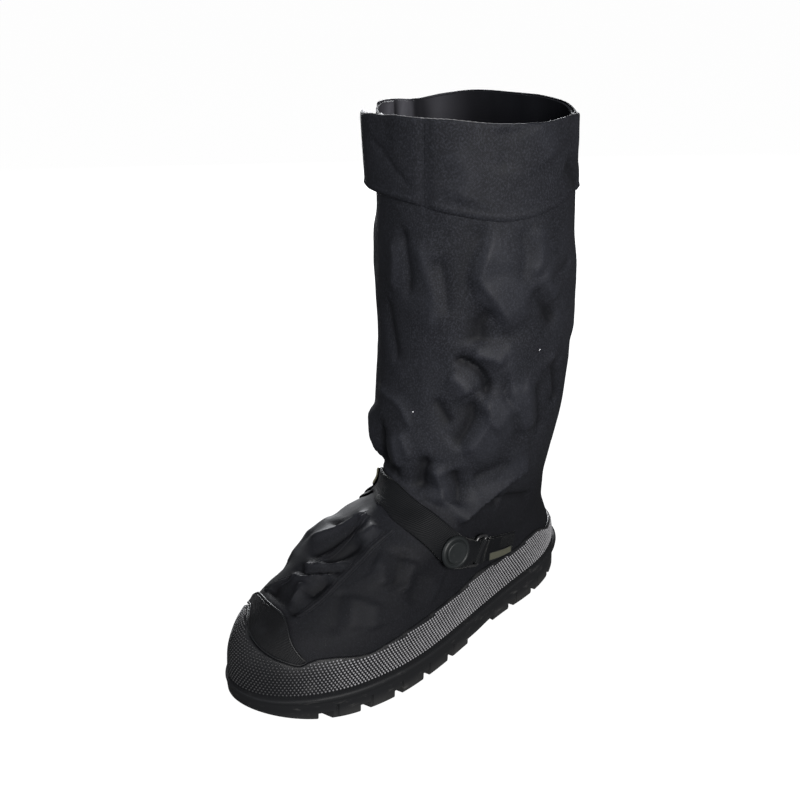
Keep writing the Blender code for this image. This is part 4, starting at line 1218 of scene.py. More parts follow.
class Shaper(Tree):
    """Geometry node group with named inputs: lengths, and the finish of what it makes."""

    def __init__(self, name, *lengths):
        self.group = bpy.data.node_groups.new(name, "GeometryNodeTree")
        face = self.group.interface
        face.new_socket("Geometry", in_out="OUTPUT", socket_type="NodeSocketGeometry")
        face.new_socket("Geometry", in_out="INPUT", socket_type="NodeSocketGeometry")
        for label in lengths:
            face.new_socket(label, in_out="INPUT", socket_type="NodeSocketFloat")
        face.new_socket("Finish", in_out="INPUT", socket_type="NodeSocketMaterial")
        super().__init__(self.group)
        source = self.group.nodes.new("NodeGroupInput")
        self.given = {socket.name: Socket(self, socket) for socket in source.outputs if socket.name}

    def steps(self):
        """Points at even steps along the edges of the base mesh."""
        curve = self.node("GeometryNodeMeshToCurve", {}, {"Mesh": self.given["Geometry"]})[0]
        inputs = {"Curve": curve, "Length": self.given["Pitch"]}
        return self.node("GeometryNodeResampleCurve", {"mode": "LENGTH"}, inputs)[0]

    def out(self):
        """Direction out of the surface, which the base mesh holds."""
        settings = {"data_type": "FLOAT_VECTOR"}
        return self.node("GeometryNodeInputNamedAttribute", settings, {"Name": "out"})[0]

    def stand(self, way):
        """Turn that stands a shape up along a direction."""
        return self.node("FunctionNodeAlignRotationToVector", {"axis": "Z"}, {"Vector": way})[0]

    def cone(self, sides, top, foot, depth):
        """Blunt cone of a few sides."""
        inputs = {"Vertices": sides, "Radius Top": top, "Radius Bottom": foot, "Depth": depth}
        return self.node("GeometryNodeMeshCone", {"fill_type": "NGON"}, inputs)[0]

    def spread(self, points, shape, turn, scale=(1.0, 1.0, 1.0)):
        """Sets a shape on every point, makes it real, gives it its finish and ends the group."""
        inputs = {"Points": points, "Instance": shape, "Rotation": turn, "Scale": scale}
        placed = self.node("GeometryNodeInstanceOnPoints", {}, inputs)[0]
        real = self.node("GeometryNodeRealizeInstances", {}, {0: placed})[0]
        smooth_faces = self.node("GeometryNodeSetShadeSmooth", {}, {"Geometry": real})[0]
        inputs = {"Geometry": smooth_faces, "Material": self.given["Finish"]}
        done = self.node("GeometryNodeSetMaterial", {}, inputs)[0]
        end = self.group.nodes.new("NodeGroupOutput")
        self.tree.links.new(done.socket, end.inputs[0])
        return self

    def grown(self, name, mesh, values):
        """Plain mesh that the group makes from a base mesh."""
        base = new_object(name, mesh)
        modifier = base.modifiers.new(self.group.name, "NODES")
        modifier.node_group = self.group
        for item in self.group.interface.items_tree:
            if item.in_out == "INPUT" and item.name in values:
                modifier[item.identifier] = values[item.name]
        graph = bpy.context.evaluated_depsgraph_get()
        made = bpy.data.meshes.new_from_object(base.evaluated_get(graph))
        bpy.data.objects.remove(base)
        bpy.data.meshes.remove(mesh)
        made.name = name
        if not made.polygons:
            raise RuntimeError(f"{name}: the node group made nothing")
        return made


def stitch_shaper():
    """Stitches along the edges of a mesh."""
    shaper = Shaper("stitch_rows", "Pitch", "Length", "Thickness")
    length, thickness = shaper.given["Length"], shaper.given["Thickness"]
    steps = shaper.steps()
    ahead = shaper.node("GeometryNodeInputTangent")[0]
    axes = {"primary_axis": "X", "secondary_axis": "Z"}
    turn = shaper.node("FunctionNodeAxesToRotation", axes, {0: ahead, 1: shaper.out()})[0]
    bead = shaper.node("GeometryNodeMeshUVSphere", {}, {"Segments": 6, "Rings": 4, "Radius": 0.5})[0]
    size = shaper.node("ShaderNodeCombineXYZ", {}, {0: length, 1: thickness, 2: thickness * 0.8})[0]
    stitch = shaper.node("GeometryNodeTransform", {}, {"Geometry": bead, "Scale": size})[0]
    return shaper.spread(steps, stitch, turn)


def knurl_shaper():
    """Low studs on the points of a mesh."""
    shaper = Shaper("rand_knurl", "Radius", "Height")
    radius = shaper.given["Radius"]
    stud = shaper.cone(5, radius * 0.45, radius, shaper.given["Height"])
    return shaper.spread(shaper.given["Geometry"], stud, shaper.stand(shaper.out()))


def fibre_shaper():
    """Loose fibres that stand off the edges of a mesh, each its own length and lean."""
    shaper = Shaper("frayed_edge", "Pitch", "Length", "Thickness")
    thickness = shaper.given["Thickness"]
    steps = shaper.steps()
    reach = {"Min": (-0.9, -0.9, -0.5), "Max": (0.9, 0.9, 0.9), "Seed": 4}
    lean = shaper.node("FunctionNodeRandomValue", {"data_type": "FLOAT_VECTOR"}, reach)[0]
    way = shaper.node("ShaderNodeVectorMath", {"operation": "ADD"}, {0: shaper.out(), 1: lean})[0]
    size = shaper.node("FunctionNodeRandomValue", {"data_type": "FLOAT"}, {2: 0.35, 3: 1.3, "Seed": 9})[1]
    hair = shaper.cone(4, thickness * 0.2, thickness * 0.5, shaper.given["Length"])
    return shaper.spread(steps, hair, shaper.stand(way), size)


def path_mesh(name, paths):
    """Edges along lists of points, with the direction out of the cloth at each."""
    points, outs, edges = [], [], []
    for line, out in paths:
        start = len(points)
        points += (np.asarray(line) * MM).tolist()
        outs += np.asarray(out).tolist()
        edges += [(start + k, start + k + 1) for k in range(len(line) - 1)]
    mesh = bpy.data.meshes.new(name)
    mesh.from_pydata(points, edges, [])
    store = mesh.attributes.new("out", "FLOAT_VECTOR", "POINT")
    store.data.foreach_set("vector", np.asarray(outs, np.float32).ravel())
    return mesh


def upper_levels(columns):
    """Heights of the upper's rows at each column: foot, vamp and shaft."""
    low = foot_edge(columns)
    vamp_start = 46.0
    shaft_start = 122.0
    stretch_from = 300.0
    rows = [low + share * (vamp_start - low) for share in (0.0, 0.25, 0.5, 0.75)]
    vamp = np.arange(vamp_start, shaft_start, 0.95)
    shaft = np.linspace(shaft_start, SHAFT_TOP, 126)
    rim = rim_top(columns)
    for level in (*vamp, *shaft):
        share = max(0.0, (level - stretch_from) / (SHAFT_TOP - stretch_from))
        rows.append(level + share * (rim - SHAFT_TOP))
    return np.array(rows)


def lowest_near(rise, rows):
    """The least of a grid's values within some rows above and below, and a column aside."""
    low = rise
    padded = np.pad(rise, ((rows, rows), (0, 0)), mode="edge")
    for shift in range(2 * rows + 1):
        low = np.minimum(low, padded[shift:shift + len(rise)])
    return np.minimum(low, np.minimum(np.roll(low, 1, axis=1), np.roll(low, -1, axis=1)))


def make_upper(sizes, colours):
    """Vamp, quarters and shaft of creased nylon with their lining."""
    columns = np.linspace(0, 360, 288, endpoint=False)
    height = upper_levels(columns)
    rise = relief(columns, height, sizes)
    outer = skin(columns, height, rise)
    sparse = np.unique(np.concatenate([np.arange(0, len(height), 4), [len(height) - 2, len(height) - 1]]))
    low = lowest_near(rise, 4)
    inner = skin(columns, height[sparse], low[sparse] - CLOTH_WALL)
    values = {"fold": (rise, rise[sparse])}
    charts = (grid_chart(outer, True), grid_chart(inner, True))
    mesh = shell_mesh("upper_cloth", outer, inner, *charts, around=True, values=values)
    nylon = shared("black_nylon_cloth", nylon_finish, colours)
    lining = shared("grey_lining", lining_finish, colours)
    add_piece("upper_cloth", mesh, (nylon, lining), ("upper",))


def cuff_stand_off(around, height):
    """How far the flap's loose end stands off the shaft."""
    free = ease((around - CUFF_FREE_FROM) / (CUFF_END - CUFF_FREE_FROM))
    hem = CUFF_HEM[-1].height
    up = (height - hem) / (SHAFT_TOP - hem)
    return free * (CUFF_STAND_OFF_HEM + up * (CUFF_STAND_OFF - CUFF_STAND_OFF_HEM))


def cuff_top(around):
    """Height of the cuff's upper edge, which drops at the loose end."""
    drop = CUFF_DROP * ease((around - CUFF_DROP_FROM) / (CUFF_END - 4.0 - CUFF_DROP_FROM))
    return rim_top(around) + CUFF_RISE - drop


def cuff_sheet(first, last, lap, count, sizes):
    """Columns, heights, lifts and creases of a strip of the cuff."""
    columns = np.linspace(first, last, count)
    share = np.linspace(0, 1, 46) ** 0.85
    hem = curve_at(CUFF_HEM, columns)
    top = cuff_top(columns)
    height = hem + (top - hem) * share[:, None]
    lift = FIT_GAP + cuff_stand_off(columns, height)
    if lap:
        lift = lift + CUFF_LAP_LIFT * ease((columns - last + 3.5 * CUFF_LAP) / (3 * CUFF_LAP))
    rise = relief(columns, height, sizes)
    return columns, height, lift, rise


def make_cuff_strip(name, first, last, lap, count, sizes):
    """One strip of the cuff, with a rolled hem and rounded edges."""
    columns, height, lift, rise = cuff_sheet(first, last, lap, count, sizes)
    from_hem = height - height[:1]
    from_top = height[-1] - height
    roll = CUFF_HEM_ROLL * np.exp(-((from_hem - 2.2) / 1.6) ** 2)
    thin = 0.45 * np.exp(-(np.minimum(from_hem, from_top) / 0.7) ** 2)
    if lap:
        pressed = 1 - 0.85 * ease((columns - last + 7.0) / 7.0)
    else:
        pressed = 0.35 + 0.65 * ease((columns - first - CUFF_LAP - 0.5) / 6.0)
    wall = (CUFF_WALL * (1 - thin) + roll) * pressed
    inner = skin(columns, height, lift + rise)
    outer = skin(columns, height, lift + rise + wall)
    values = {"fold": (rise, rise)}
    return shell_mesh(name, outer, inner, grid_chart(outer), values=values)


def make_cuff(sizes, colours):
    """Wide cuff: a band round the collar lapped over a loose front flap."""
    nylon = shared("black_nylon_cloth", nylon_finish, colours)
    lining = shared("grey_lining", lining_finish, colours)
    band = make_cuff_strip("cuff_band", CUFF_START, CUFF_STEP_AT, True, 250, sizes)
    add_piece("cuff_band", band, (nylon, lining), ("cuff",))
    flap_start = CUFF_STEP_AT - CUFF_LAP
    flap = make_cuff_strip("cuff_flap", flap_start, CUFF_END, False, 76, sizes)
    add_piece("cuff_flap", flap, (nylon, lining))


def seam_place(seam, height, across):
    """Around of a place on a gusset seam; across runs from -1 to 1."""
    middle = curve_at([(row.height, row.around) for row in seam], height)
    arc = np.linalg.norm(skin(middle + 1, height) - skin(middle, height), axis=-1)
    return middle + across * SEAM_WIDTH / 2 / arc


def seam_lift(across):
    """Height of the felled seam over the cloth: two soft ribs with a groove between."""
    edge = 1 - np.abs(across) ** 6
    return 0.25 + SEAM_WALL * edge * (0.72 + 0.28 * np.cos(2 * np.pi * across))


def make_seams(sizes, colours):
    """Raised seams along both edges of the front gusset."""
    nylon = shared("black_nylon_cloth", nylon_finish, colours)
    across = np.linspace(-1, 1, 15)
    for seam, node in ((LATERAL_SEAM, "gusset_seam_lateral"), (MEDIAL_SEAM, "gusset_seam_medial")):
        heights = np.linspace(seam[0].height, seam[-1].height, 70)
        height = np.broadcast_to(heights[:, None], (len(heights), len(across)))
        around = seam_place(seam, height, across)
        rise = relief(around, height, sizes)
        outer = skin(around, height, rise + seam_lift(across))
        inner = skin(around, height, rise - 0.3)
        values = {"fold": (rise, rise)}
        mesh = shell_mesh(node + "_fell", outer, inner, grid_chart(outer), values=values)
        add_piece(node + "_fell", mesh, (nylon, nylon), (node,))


def rand_sheet():
    """Columns, heights and lifts of the rand's rows, rounded at its upper edge."""
    columns = np.linspace(0, 360, 360, endpoint=False)
    low = np.maximum(foot_edge(columns), foot_edge(columns, FIT_GAP + RAND_WALL))
    high = rand_top(columns)
    edge = ((1.5, 1.0), (0.9, 0.93), (0.4, 0.72), (0.0, 0.30))
    rows = [low + share * (high - edge[0][0] - low) for share in np.linspace(0, 1, 13)[:-1]]
    walls = [1.0] * len(rows)
    for down, wall in edge:
        rows.append(high - down)
        walls.append(wall)
    lift = FIT_GAP + RAND_WALL * np.array(walls)[:, None]
    return columns, np.array(rows), lift


def stud_rows(columns, height, chart, sizes):
    """Staggered rows of places on the rand, and the directions out of it there."""
    count = round(float(chart[0, -1, 0]) / (sizes.knurl_pitch / MM))
    step = sizes.knurl_row / MM
    up = chart[:, :-1, 1]
    top = height[-1] - STUD_EDGE
    rows = []
    for k in range(int(up.max() / step)):
        above = STUD_EDGE + k * step
        level = [np.interp(above, up[:, c], height[:, c], right=np.inf) for c in range(len(columns))]
        around = (np.arange(count) + 0.5 * (k % 2)) * 360 / count
        near = np.round(around).astype(int) % len(columns)
        kept = around[np.array(level)[near] < top[near]]
        level = np.interp(kept, columns, np.minimum(level, top), period=360)
        rows.append((skin(kept, level, FIT_GAP + RAND_WALL), skin_out(kept, level)))
    return rows


def make_rand(sizes, colours):
    """Rubber rand with its raised grip."""
    columns, height, lift = rand_sheet()
    outer = skin(columns, height, lift)
    inner = skin(columns, height, FIT_GAP * 0.4)
    chart = grid_chart(outer, True)
    mesh = shell_mesh("rand_band", outer, inner, chart, around=True)
    rubber = shared("rand_rubber_smooth", rand_finish, colours)
    add_piece("rand_band", mesh, (rubber, rubber), ("rand",))

    knurl = shared("rand_knurl", knurl_finish, colours)
    base = path_mesh("rand_grip", stud_rows(columns, height, chart, sizes))
    studs = knurl_shaper().grown("rand_grip", base, {
        "Radius": sizes.knurl_radius,
        "Height": sizes.knurl_height,
        "Finish": knurl,
    })
    add_piece("rand_grip", studs, (knurl,))


def cap_point(around, down, lift):
    """Points on the toe cap, down from its upper edge as a share."""
    high = cap_high(around)
    return skin(around, high + down * (cap_low(around) - high), lift)


def make_cap(sizes, colours):
    """Crescent toe cap with a piped upper edge, doubled in front, and a piped lower one."""
    around = np.linspace(CAP_START, CAP_END, 160)
    from_tips = np.minimum(around - CAP_START, CAP_END - around)
    down = np.linspace(0, 1, 34)
    length = np.linalg.norm(cap_point(around, 0.0, 0.0) - cap_point(around, 1.0, 0.0), axis=-1)
    edge = np.minimum(down, 1 - down)[:, None] * length
    wall = CAP_WALL * (0.45 + 0.55 * ease(edge / 1.6))
    wall = wall * (0.55 + 0.45 * ease(from_tips / 4.0))
    outer = cap_point(around, down[:, None], FIT_GAP + wall)
    inner = cap_point(around, down[:, None], 0.1)
    mesh = shell_mesh("toe_cap_shell", outer, inner, grid_chart(outer))
    rubber = shared("cap_rubber_woven", cap_finish, colours)
    add_piece("toe_cap_shell", mesh, (rubber, rubber), ("toe_cap",))

    radius = sizes.piping_radius / MM
    round_end = 0.5 + 0.5 * ease(from_tips / 3.0)
    seat = FIT_GAP + CAP_WALL * 0.8
    top = np.clip(0.7 / length, 0.02, 0.98)
    low = np.clip(1 - 0.6 / length, 0.02, 0.98)
    lines = [
        tube_mesh("piping", cap_point(around, top, seat), 1.25 * radius * round_end),
        tube_mesh("piping", cap_point(around, low, seat), radius * round_end),
    ]
    front = around > PIPING_SECOND_FROM
    second = np.clip(PIPING_SECOND / length[front], 0.02, 0.9)
    taper = np.maximum(ease((around[front] - PIPING_SECOND_FROM) / 6.0) * round_end[front], 0.1)
    lines.append(tube_mesh("piping", cap_point(around[front], second, seat), 0.8 * radius * taper))
    piping = join_meshes("toe_cap_piping", lines)
    smooth_rubber = shared("rand_rubber_smooth", rand_finish, colours)
    add_piece("toe_cap_piping", piping, (smooth_rubber,))


def plan_ring(grow, heel_inset, shift, count):
    """Level outline of the sole with matching places along Y on both sides."""
    base = Section(SOLE_PLAN_HEIGHT, *rows_at(UPPER_SECTIONS, SOLE_PLAN_HEIGHT)[0])
    back = base.back + grow - heel_inset
    toe = base.toe - grow
    share = (1 - np.cos(np.linspace(0, np.pi, count))) / 2
    sides = {1: [], -1: []}
    for y in back + (toe - back) * share:
        fade = float(ease((y - HEEL_LIP_FADE[0]) / (HEEL_LIP_FADE[1] - HEEL_LIP_FADE[0])))
        more = grow - heel_inset * fade
        local = base._replace(
            toe=base.toe - more,
            nose=base.nose + more,
            ball=base.ball + more,
            heel=base.heel + more,
            back=base.back + more,
            round=base.round + more,
        )
        toe_turn = min(max(1 - (y - local.toe) / local.nose, 0.0), 1.0)
        for side, line in sides.items():
            width = float(half_width(local, y, side))
            line.append((shift + local.lean * toe_turn**2 + side * width, y))
    return sides


def stack_mesh(name, rings):
    """Closed body through level rings, each a pair of side lines with heights added."""
    shape = bmesh.new()
    loops = []
    for ring in rings:
        lateral = [shape.verts.new(np.array(point) * MM) for point in ring[1]]
        medial = [shape.verts.new(np.array(point) * MM) for point in ring[-1][1:-1]]
        loops.append((lateral, [lateral[0]] + medial + [lateral[-1]]))
    for upper, lower in zip(loops, loops[1:]):
        for high, low in zip(upper, lower):
            for k in range(len(high) - 1):
                shape.faces.new((high[k], high[k + 1], low[k + 1], low[k]))
    for lateral, medial in (loops[0], loops[-1]):
        for k in range(len(lateral) - 1):
            shape.faces.new(dict.fromkeys((lateral[k], lateral[k + 1], medial[k + 1], medial[k])))
    bmesh.ops.recalc_face_normals(shape, faces=shape.faces)
    mesh = bpy.data.meshes.new(name)
    shape.to_mesh(mesh)
    shape.free()
    return mesh


def make_cutter(collection, centre, size, turn):
    """Box that is taken out of the sole."""
    shape = bmesh.new()
    bmesh.ops.create_cube(shape, size=1.0)
    place = Matrix.Translation(Vector(centre) * MM) @ Matrix.Rotation(turn, 4, "Z")
    place = place @ Matrix.Diagonal((*(Vector(size) * MM), 1.0))
    bmesh.ops.transform(shape, matrix=place, verts=shape.verts)
    mesh = bpy.data.meshes.new("sole_cutter")
    shape.to_mesh(mesh)
    shape.free()
    collection.objects.link(bpy.data.objects.new("sole_cutter", mesh))


def cut_tread(collection):
    """Notches from both edges, the slots above them, and the gap under the arch."""
    below = 4.0
    reach = 80.0
    gap_size = (200.0, ARCH_GAP[1] - ARCH_GAP[0], ARCH_DEPTH + below)
    make_cutter(collection, (0, sum(ARCH_GAP) / 2, (ARCH_DEPTH - below) / 2), gap_size, 0.0)
    edge = plan_ring(SOLE_OVERHANG - 0.6, 1.8, SOLE_SHIFT, 200)
    for y in FOREFOOT_NOTCHES + HEEL_NOTCHES:
        depth = LUG_DEPTH + float(sole_bottom(y))
        for side in (1, -1):
            turn = side * NOTCH_SLANT
            centre = (side * (TREAD_SPINE + reach / 2), y, (depth - below) / 2)
            make_cutter(collection, centre, (reach, NOTCH_WIDTH, depth + below), turn)
            line = np.array(edge[side])[::-1]
            slot_y = y + NOTCH_WIDTH * 0.5 + SIDE_SLOT_WIDTH * 0.5 + 1.1
            slot_x = float(np.interp(slot_y, line[:, 1], line[:, 0]))
            slot_low = float(sole_bottom(y)) - below
            slot_high = float(sole_bottom(y)) + LUG_DEPTH + SIDE_SLOT_RISE
            size = (2 * SIDE_SLOT_DEPTH, SIDE_SLOT_WIDTH, slot_high - slot_low)
            make_cutter(collection, (slot_x, slot_y, (slot_high + slot_low) / 2), size, turn)


def make_sole(sizes, colours):
    """Lugged rubber outsole with a lip round the heel."""
    rings = []
    for step in SOLE_SIDE:
        ring = plan_ring(SOLE_OVERHANG - step.inset, step.heel_inset, SOLE_SHIFT, SOLE_STATIONS)
        for side, line in ring.items():
            y = np.array(line)[:, 1]
            top = sole_top(y)
            drop = step.down * (top - sole_bottom(y))
            ring[side] = [(*place, height) for place, height in zip(line, top - drop)]
        rings.append(ring)
    cutters = bpy.data.collections.new("sole_cutters")
    bpy.context.scene.collection.children.link(cutters)
    cut_tread(cutters)
    base = new_object("sole_blank", stack_mesh("sole_blank", rings))
    cut = base.modifiers.new("tread", "BOOLEAN")
    cut.operation = "DIFFERENCE"
    cut.operand_type = "COLLECTION"
    cut.collection = cutters
    cut.solver = "EXACT"
    graph = bpy.context.evaluated_depsgraph_get()
    mesh = bpy.data.meshes.new_from_object(base.evaluated_get(graph))
    mesh.name = "lugged_sole"
    for cutter in list(cutters.objects):
        bpy.data.objects.remove(cutter)
    bpy.data.collections.remove(cutters)
    bpy.data.objects.remove(base)
    mesh.shade_smooth()
    mesh.set_sharp_from_angle(angle=math.radians(SOLE_EDGE_ANGLE))
    rubber = shared("sole_rubber_moulded", sole_finish, colours)
    add_piece("lugged_sole", mesh, (rubber,), ("outsole",))


def dress_insole(sizes, colours):
    """Felt finish on the insole board."""
    board = frame["nodes"]["insole"]
    board = board if hasattr(board, "data") else bpy.data.objects["insole"]
    board.data.materials.clear()
    board.data.materials.append(shared("insole_felt", felt_finish, colours))


def strap_place(station, across):
    """Around and height on the strap's line; across runs from -1 (low edge) to 1."""
    station, across = np.broadcast_arrays(np.asarray(station, float), np.asarray(across, float))
    edges = rows_at(STRAP_LINE[::-1], station.ravel()).reshape(station.shape + (4,))
    upper_around, upper_height, lower_around, lower_height = np.moveaxis(edges, -1, 0)
    share = (across + 1) / 2
    around = lower_around + share * (upper_around - lower_around)
    height = lower_height + share * (upper_height - lower_height)
    return around, height


def strap_point(station, across, lift):
    """Points over the strap's line, a given distance off the upper."""
    around, height = strap_place(station, across)
    return skin(around, height, lift)


def station_length(station):
    """Millimetres per station at a place along the strap's line."""
    span = strap_point(station + 0.1, 0.0, 0.0) - strap_point(station - 0.1, 0.0, 0.0)
    return float(np.linalg.norm(span)) / 0.2


def softened(values, passes=3):
    """A row of numbers with its corners rounded and its ends kept."""
    values = np.array(values, float)
    for _ in range(passes):
        values[1:-1] = (values[:-2] + 2 * values[1:-1] + values[2:]) / 4
    return values


def lift_path(table, count):
    """Even steps along a table of lifts."""
    stations = np.linspace(table[0].station, table[-1].station, count)
    lifts = np.interp(stations, [row.station for row in table], [row.lift for row in table])
    return stations, softened(lifts, 6)


def loop_path(bar, start, finish, way):
    """Webbing from start round a bar of the ring and back over itself to finish.

    way is 1 where the loop opens towards the front of the ankle and -1 where it
    opens towards the heel.
    """
    scale = station_length(bar)
    outer = WEB_SEAT + 2 * WEB_WALL + FIT_GAP
    peak = WEB_SEAT + 2 * LOOP_RADIUS
    centre = WEB_SEAT + LOOP_RADIUS
    path = [(s, WEB_SEAT) for s in np.linspace(start, bar - way * 0.1, 24)]
    for angle in np.linspace(-math.pi / 2, math.pi / 2, 17):
        along = bar + way * LOOP_RADIUS * math.cos(angle) / scale
        path.append((along, centre + LOOP_RADIUS * math.sin(angle)))
    back = ((bar - way * 0.30, peak - 0.35 * (peak - outer)), (bar - way * 0.65, outer), (finish, outer))
    for target in back:
        last = path[-1]
        steps = 6 if target is not back[-1] else 20
        for share in np.linspace(0, 1, steps + 1)[1:]:
            path.append(tuple(a + share * (b - a) for a, b in zip(last, target)))
    stations, lifts = (softened(column, 2) for column in zip(*path))
    return (stations, lifts) if way > 0 else (stations[::-1], lifts[::-1])


def ribbon_mesh(name, path, end_round=0.0, width=1.0, centre=0.0, cut_ends=(0.0, 0.0), rib_at=()):
    """Webbing whose lower face follows a path of stations and lifts.

    With end_round the last end is rounded, by that many stations at its corners. width
    is a share of the strap's own, and centre how high on it the middle lies. cut_ends is
    how pale each end's heat-cut edge is, and rib_at where ribs run along it.
    """
    stations, lifts = path
    count = len(stations)
    across = np.linspace(1, -1, 21)
    corner = end_round * (1 - np.sqrt(1 - across**2))
    step = (np.arange(count) / (count - 1)) ** 8
    station = stations - corner[:, None] * step
    if end_round:
        lift = np.interp(station, stations, lifts)
    else:
        lift = np.broadcast_to(lifts, station.shape)
    lower = strap_point(station, centre + width * across[:, None], lift)
    out = -grid_out(lower)
    wall = WEB_WALL * (1 - 0.45 * np.abs(across) ** 10)
    for place in rib_at:
        wall = wall + 0.35 * np.exp(-(((across - place) / 0.045) ** 2))
    upper = lower + out * wall[:, None, None]
    along = run_length(lower[len(lower) // 2])
    side = run_length(lower[:, count // 2])
    chart = np.stack(np.broadcast_arrays(along[None, :], side[:, None]), axis=-1)
    from_ends = (along, along[-1] - along)
    cut = sum(pale * ease(1 - gap / 2.2) for pale, gap in zip(cut_ends, from_ends))
    cut = np.broadcast_to(cut, station.shape)
    return shell_mesh(name, upper, lower, chart, values={"cut": (cut, cut)})


def ring_bars():
    """Stations of the ring's front and rear bars."""
    half = (RING_LENGTH - RING_ROD) / 2 / station_length(RING_STATION)
    return RING_STATION - half, RING_STATION + half


def make_webbing(sizes, colours):
    """Instep strap, its loose tail, and the keeper and tab that hold the ring."""
    webbing = shared("black_webbing_twill", webbing_finish, colours)
    front_bar, rear_bar = ring_bars()
    strap = lift_path(STRAP_LIFT, STRAP_STEPS)
    strap = ribbon_mesh("strap_webbing", strap, STRAP_END_ROUND, rib_at=(0.9, 0.66))
    tail = ribbon_mesh("tail_webbing", lift_path(TAIL_LIFT, 60), width=0.76, centre=0.2, cut_ends=(0.9, 0.9))
    keeper = loop_path(front_bar, KEEPER_START, KEEPER_RETURN, 1)
    keeper = ribbon_mesh("keeper_webbing", keeper, width=LOOP_WIDTH)
    tab = loop_path(rear_bar, TAB_END, TAB_RETURN, -1)
    tab = ribbon_mesh("tab_webbing", tab, width=LOOP_WIDTH, rib_at=(0.85,))
    ribbons = (
        ("strap_webbing", strap, "instep_strap"),
        ("tail_webbing", tail, "strap_tail"),
        ("keeper_webbing", keeper, "strap_keeper"),
        ("tab_webbing", tab, "ring_tab"),
    )
    for name, mesh, node in ribbons:
        add_piece(name, mesh, (webbing, webbing), (node,))


def make_ring(sizes, colours):
    """Rectangular loop of round wire that lies over the strap's line."""
    scale = station_length(RING_STATION)
    span = strap_point(RING_STATION, 1.0, 0.0) - strap_point(RING_STATION, -1.0, 0.0)
    half_span = float(np.linalg.norm(span)) / 2
    reach_along = (RING_LENGTH - RING_ROD) / 2 - RING_CORNER
    reach_across = (RING_HEIGHT - RING_ROD) / 2 - RING_CORNER
    outline = []
    for sign_along, sign_across, begin in ((1, 1, 0), (-1, 1, 90), (-1, -1, 180), (1, -1, 270)):
        for degrees in np.linspace(begin, begin + 90, 9):
            along = sign_along * reach_along + RING_CORNER * math.cos(math.radians(degrees))
            across = sign_across * reach_across + RING_CORNER * math.sin(math.radians(degrees))
            outline.append((along, across))
    outline = np.array(outline + outline[:1])
    length = run_length(outline)
    even = np.linspace(0, length[-1], 160, endpoint=False)
    along, across = (np.interp(even, length, column) for column in outline.T)
    points = strap_point(RING_STATION + along / scale, across / half_span, WEB_SEAT + LOOP_RADIUS)
    mesh = tube_mesh("wire_ring", points, RING_ROD / 2, 16, closed=True)
    wire = shared("black_coated_wire", wire_finish, colours)
    add_piece("wire_ring", mesh, (wire,), ("strap_ring",))


def make_snap(sizes, colours):
    """Round snap that rests on the strap's outer face, over the keeper."""
    stations, lifts = lift_path(STRAP_LIFT, STRAP_STEPS)

    def strap_face(station, across):
        lift = np.interp(station, stations, lifts) + WEB_WALL
        return strap_point(station, across, lift)

    centre = strap_face(BUTTON_STATION, 0.0)
    back = strap_face(BUTTON_STATION + 0.7, 0.0) - strap_face(BUTTON_STATION - 0.7, 0.0)
    rise = strap_face(BUTTON_STATION, 0.8) - strap_face(BUTTON_STATION, -0.8)
    axis = unit(np.cross(rise, -back))
    reach = max(point.radius for point in BUTTON_PROFILE)
    beneath = np.linspace(BUTTON_STATION - 0.8, BUTTON_STATION + 0.8, 33)
    face = strap_face(beneath[:, None], np.linspace(-1, 1, 11))
    gap = face.reshape(-1, 3) - centre
    height = gap @ axis
    under = np.linalg.norm(gap - height[:, None] * axis, axis=1) < reach + 0.5
    seat = centre + axis * (max(0.0, float(height[under].max())) + SEAT_GAP * 0.5)
    turn = Vector(axis).to_track_quat("Z", "Y").to_matrix()
    angles = np.linspace(0, 2 * math.pi, BUTTON_STEPS, endpoint=False)
    circle = np.stack([np.cos(angles), np.sin(angles), 0 * angles], axis=1)
    rows = [circle * max(point.radius, 0.02) + (0, 0, point.height) for point in BUTTON_PROFILE]
    grid = np.array(rows) @ np.array(turn).T + seat
    chart = grid_chart(grid, True)
    mesh = sheet_mesh("snap_cap", grid, chart, around=True)
    face_out(mesh, fill=True)
    mesh.shade_smooth()
    mesh.set_sharp_from_angle(angle=math.radians(SNAP_EDGE_ANGLE))
    plastic = shared("snap_plastic", snap_finish, colours)
    add_piece("snap_cap", mesh, (plastic,), ("snap_button",))


def stitch_lines(sizes):
    """Every row of stitches on seams and tab."""
    paths = []
    for seam in (LATERAL_SEAM, MEDIAL_SEAM):
        heights = np.linspace(seam[0].height + 1, seam[-1].height - 1, 60)
        for across in (-0.5, 0.5):
            around = seam_place(seam, heights, np.full(60, across))
            lift = relief(around, heights, sizes) + seam_lift(np.array(across))
            paths.append((skin(around, heights, lift), skin_out(around, heights)))
    tab_lift = WEB_SEAT + WEB_WALL + FIT_GAP + WEB_WALL + 0.1
    box = []
    for first, second in zip(TAB_BOX, TAB_BOX[1:]):
        for share in np.linspace(0, 1, 14)[:-1]:
            box.append([a + share * (b - a) for a, b in zip(first, second)])
    station, across = np.array(box + [list(TAB_BOX[0])]).T
    line = strap_point(station, across, tab_lift)
    paths.append((line, unit(strap_point(station, across, tab_lift + 1) - line)))
    anchor = np.linspace(-ANCHOR_REACH, ANCHOR_REACH, 30)
    for end in ANCHOR_STITCHES:
        line = strap_point(end, anchor, WEB_SEAT + WEB_WALL + 0.05)
        paths.append((line, unit(strap_point(end, anchor, WEB_SEAT + WEB_WALL + 1) - line)))
    return paths


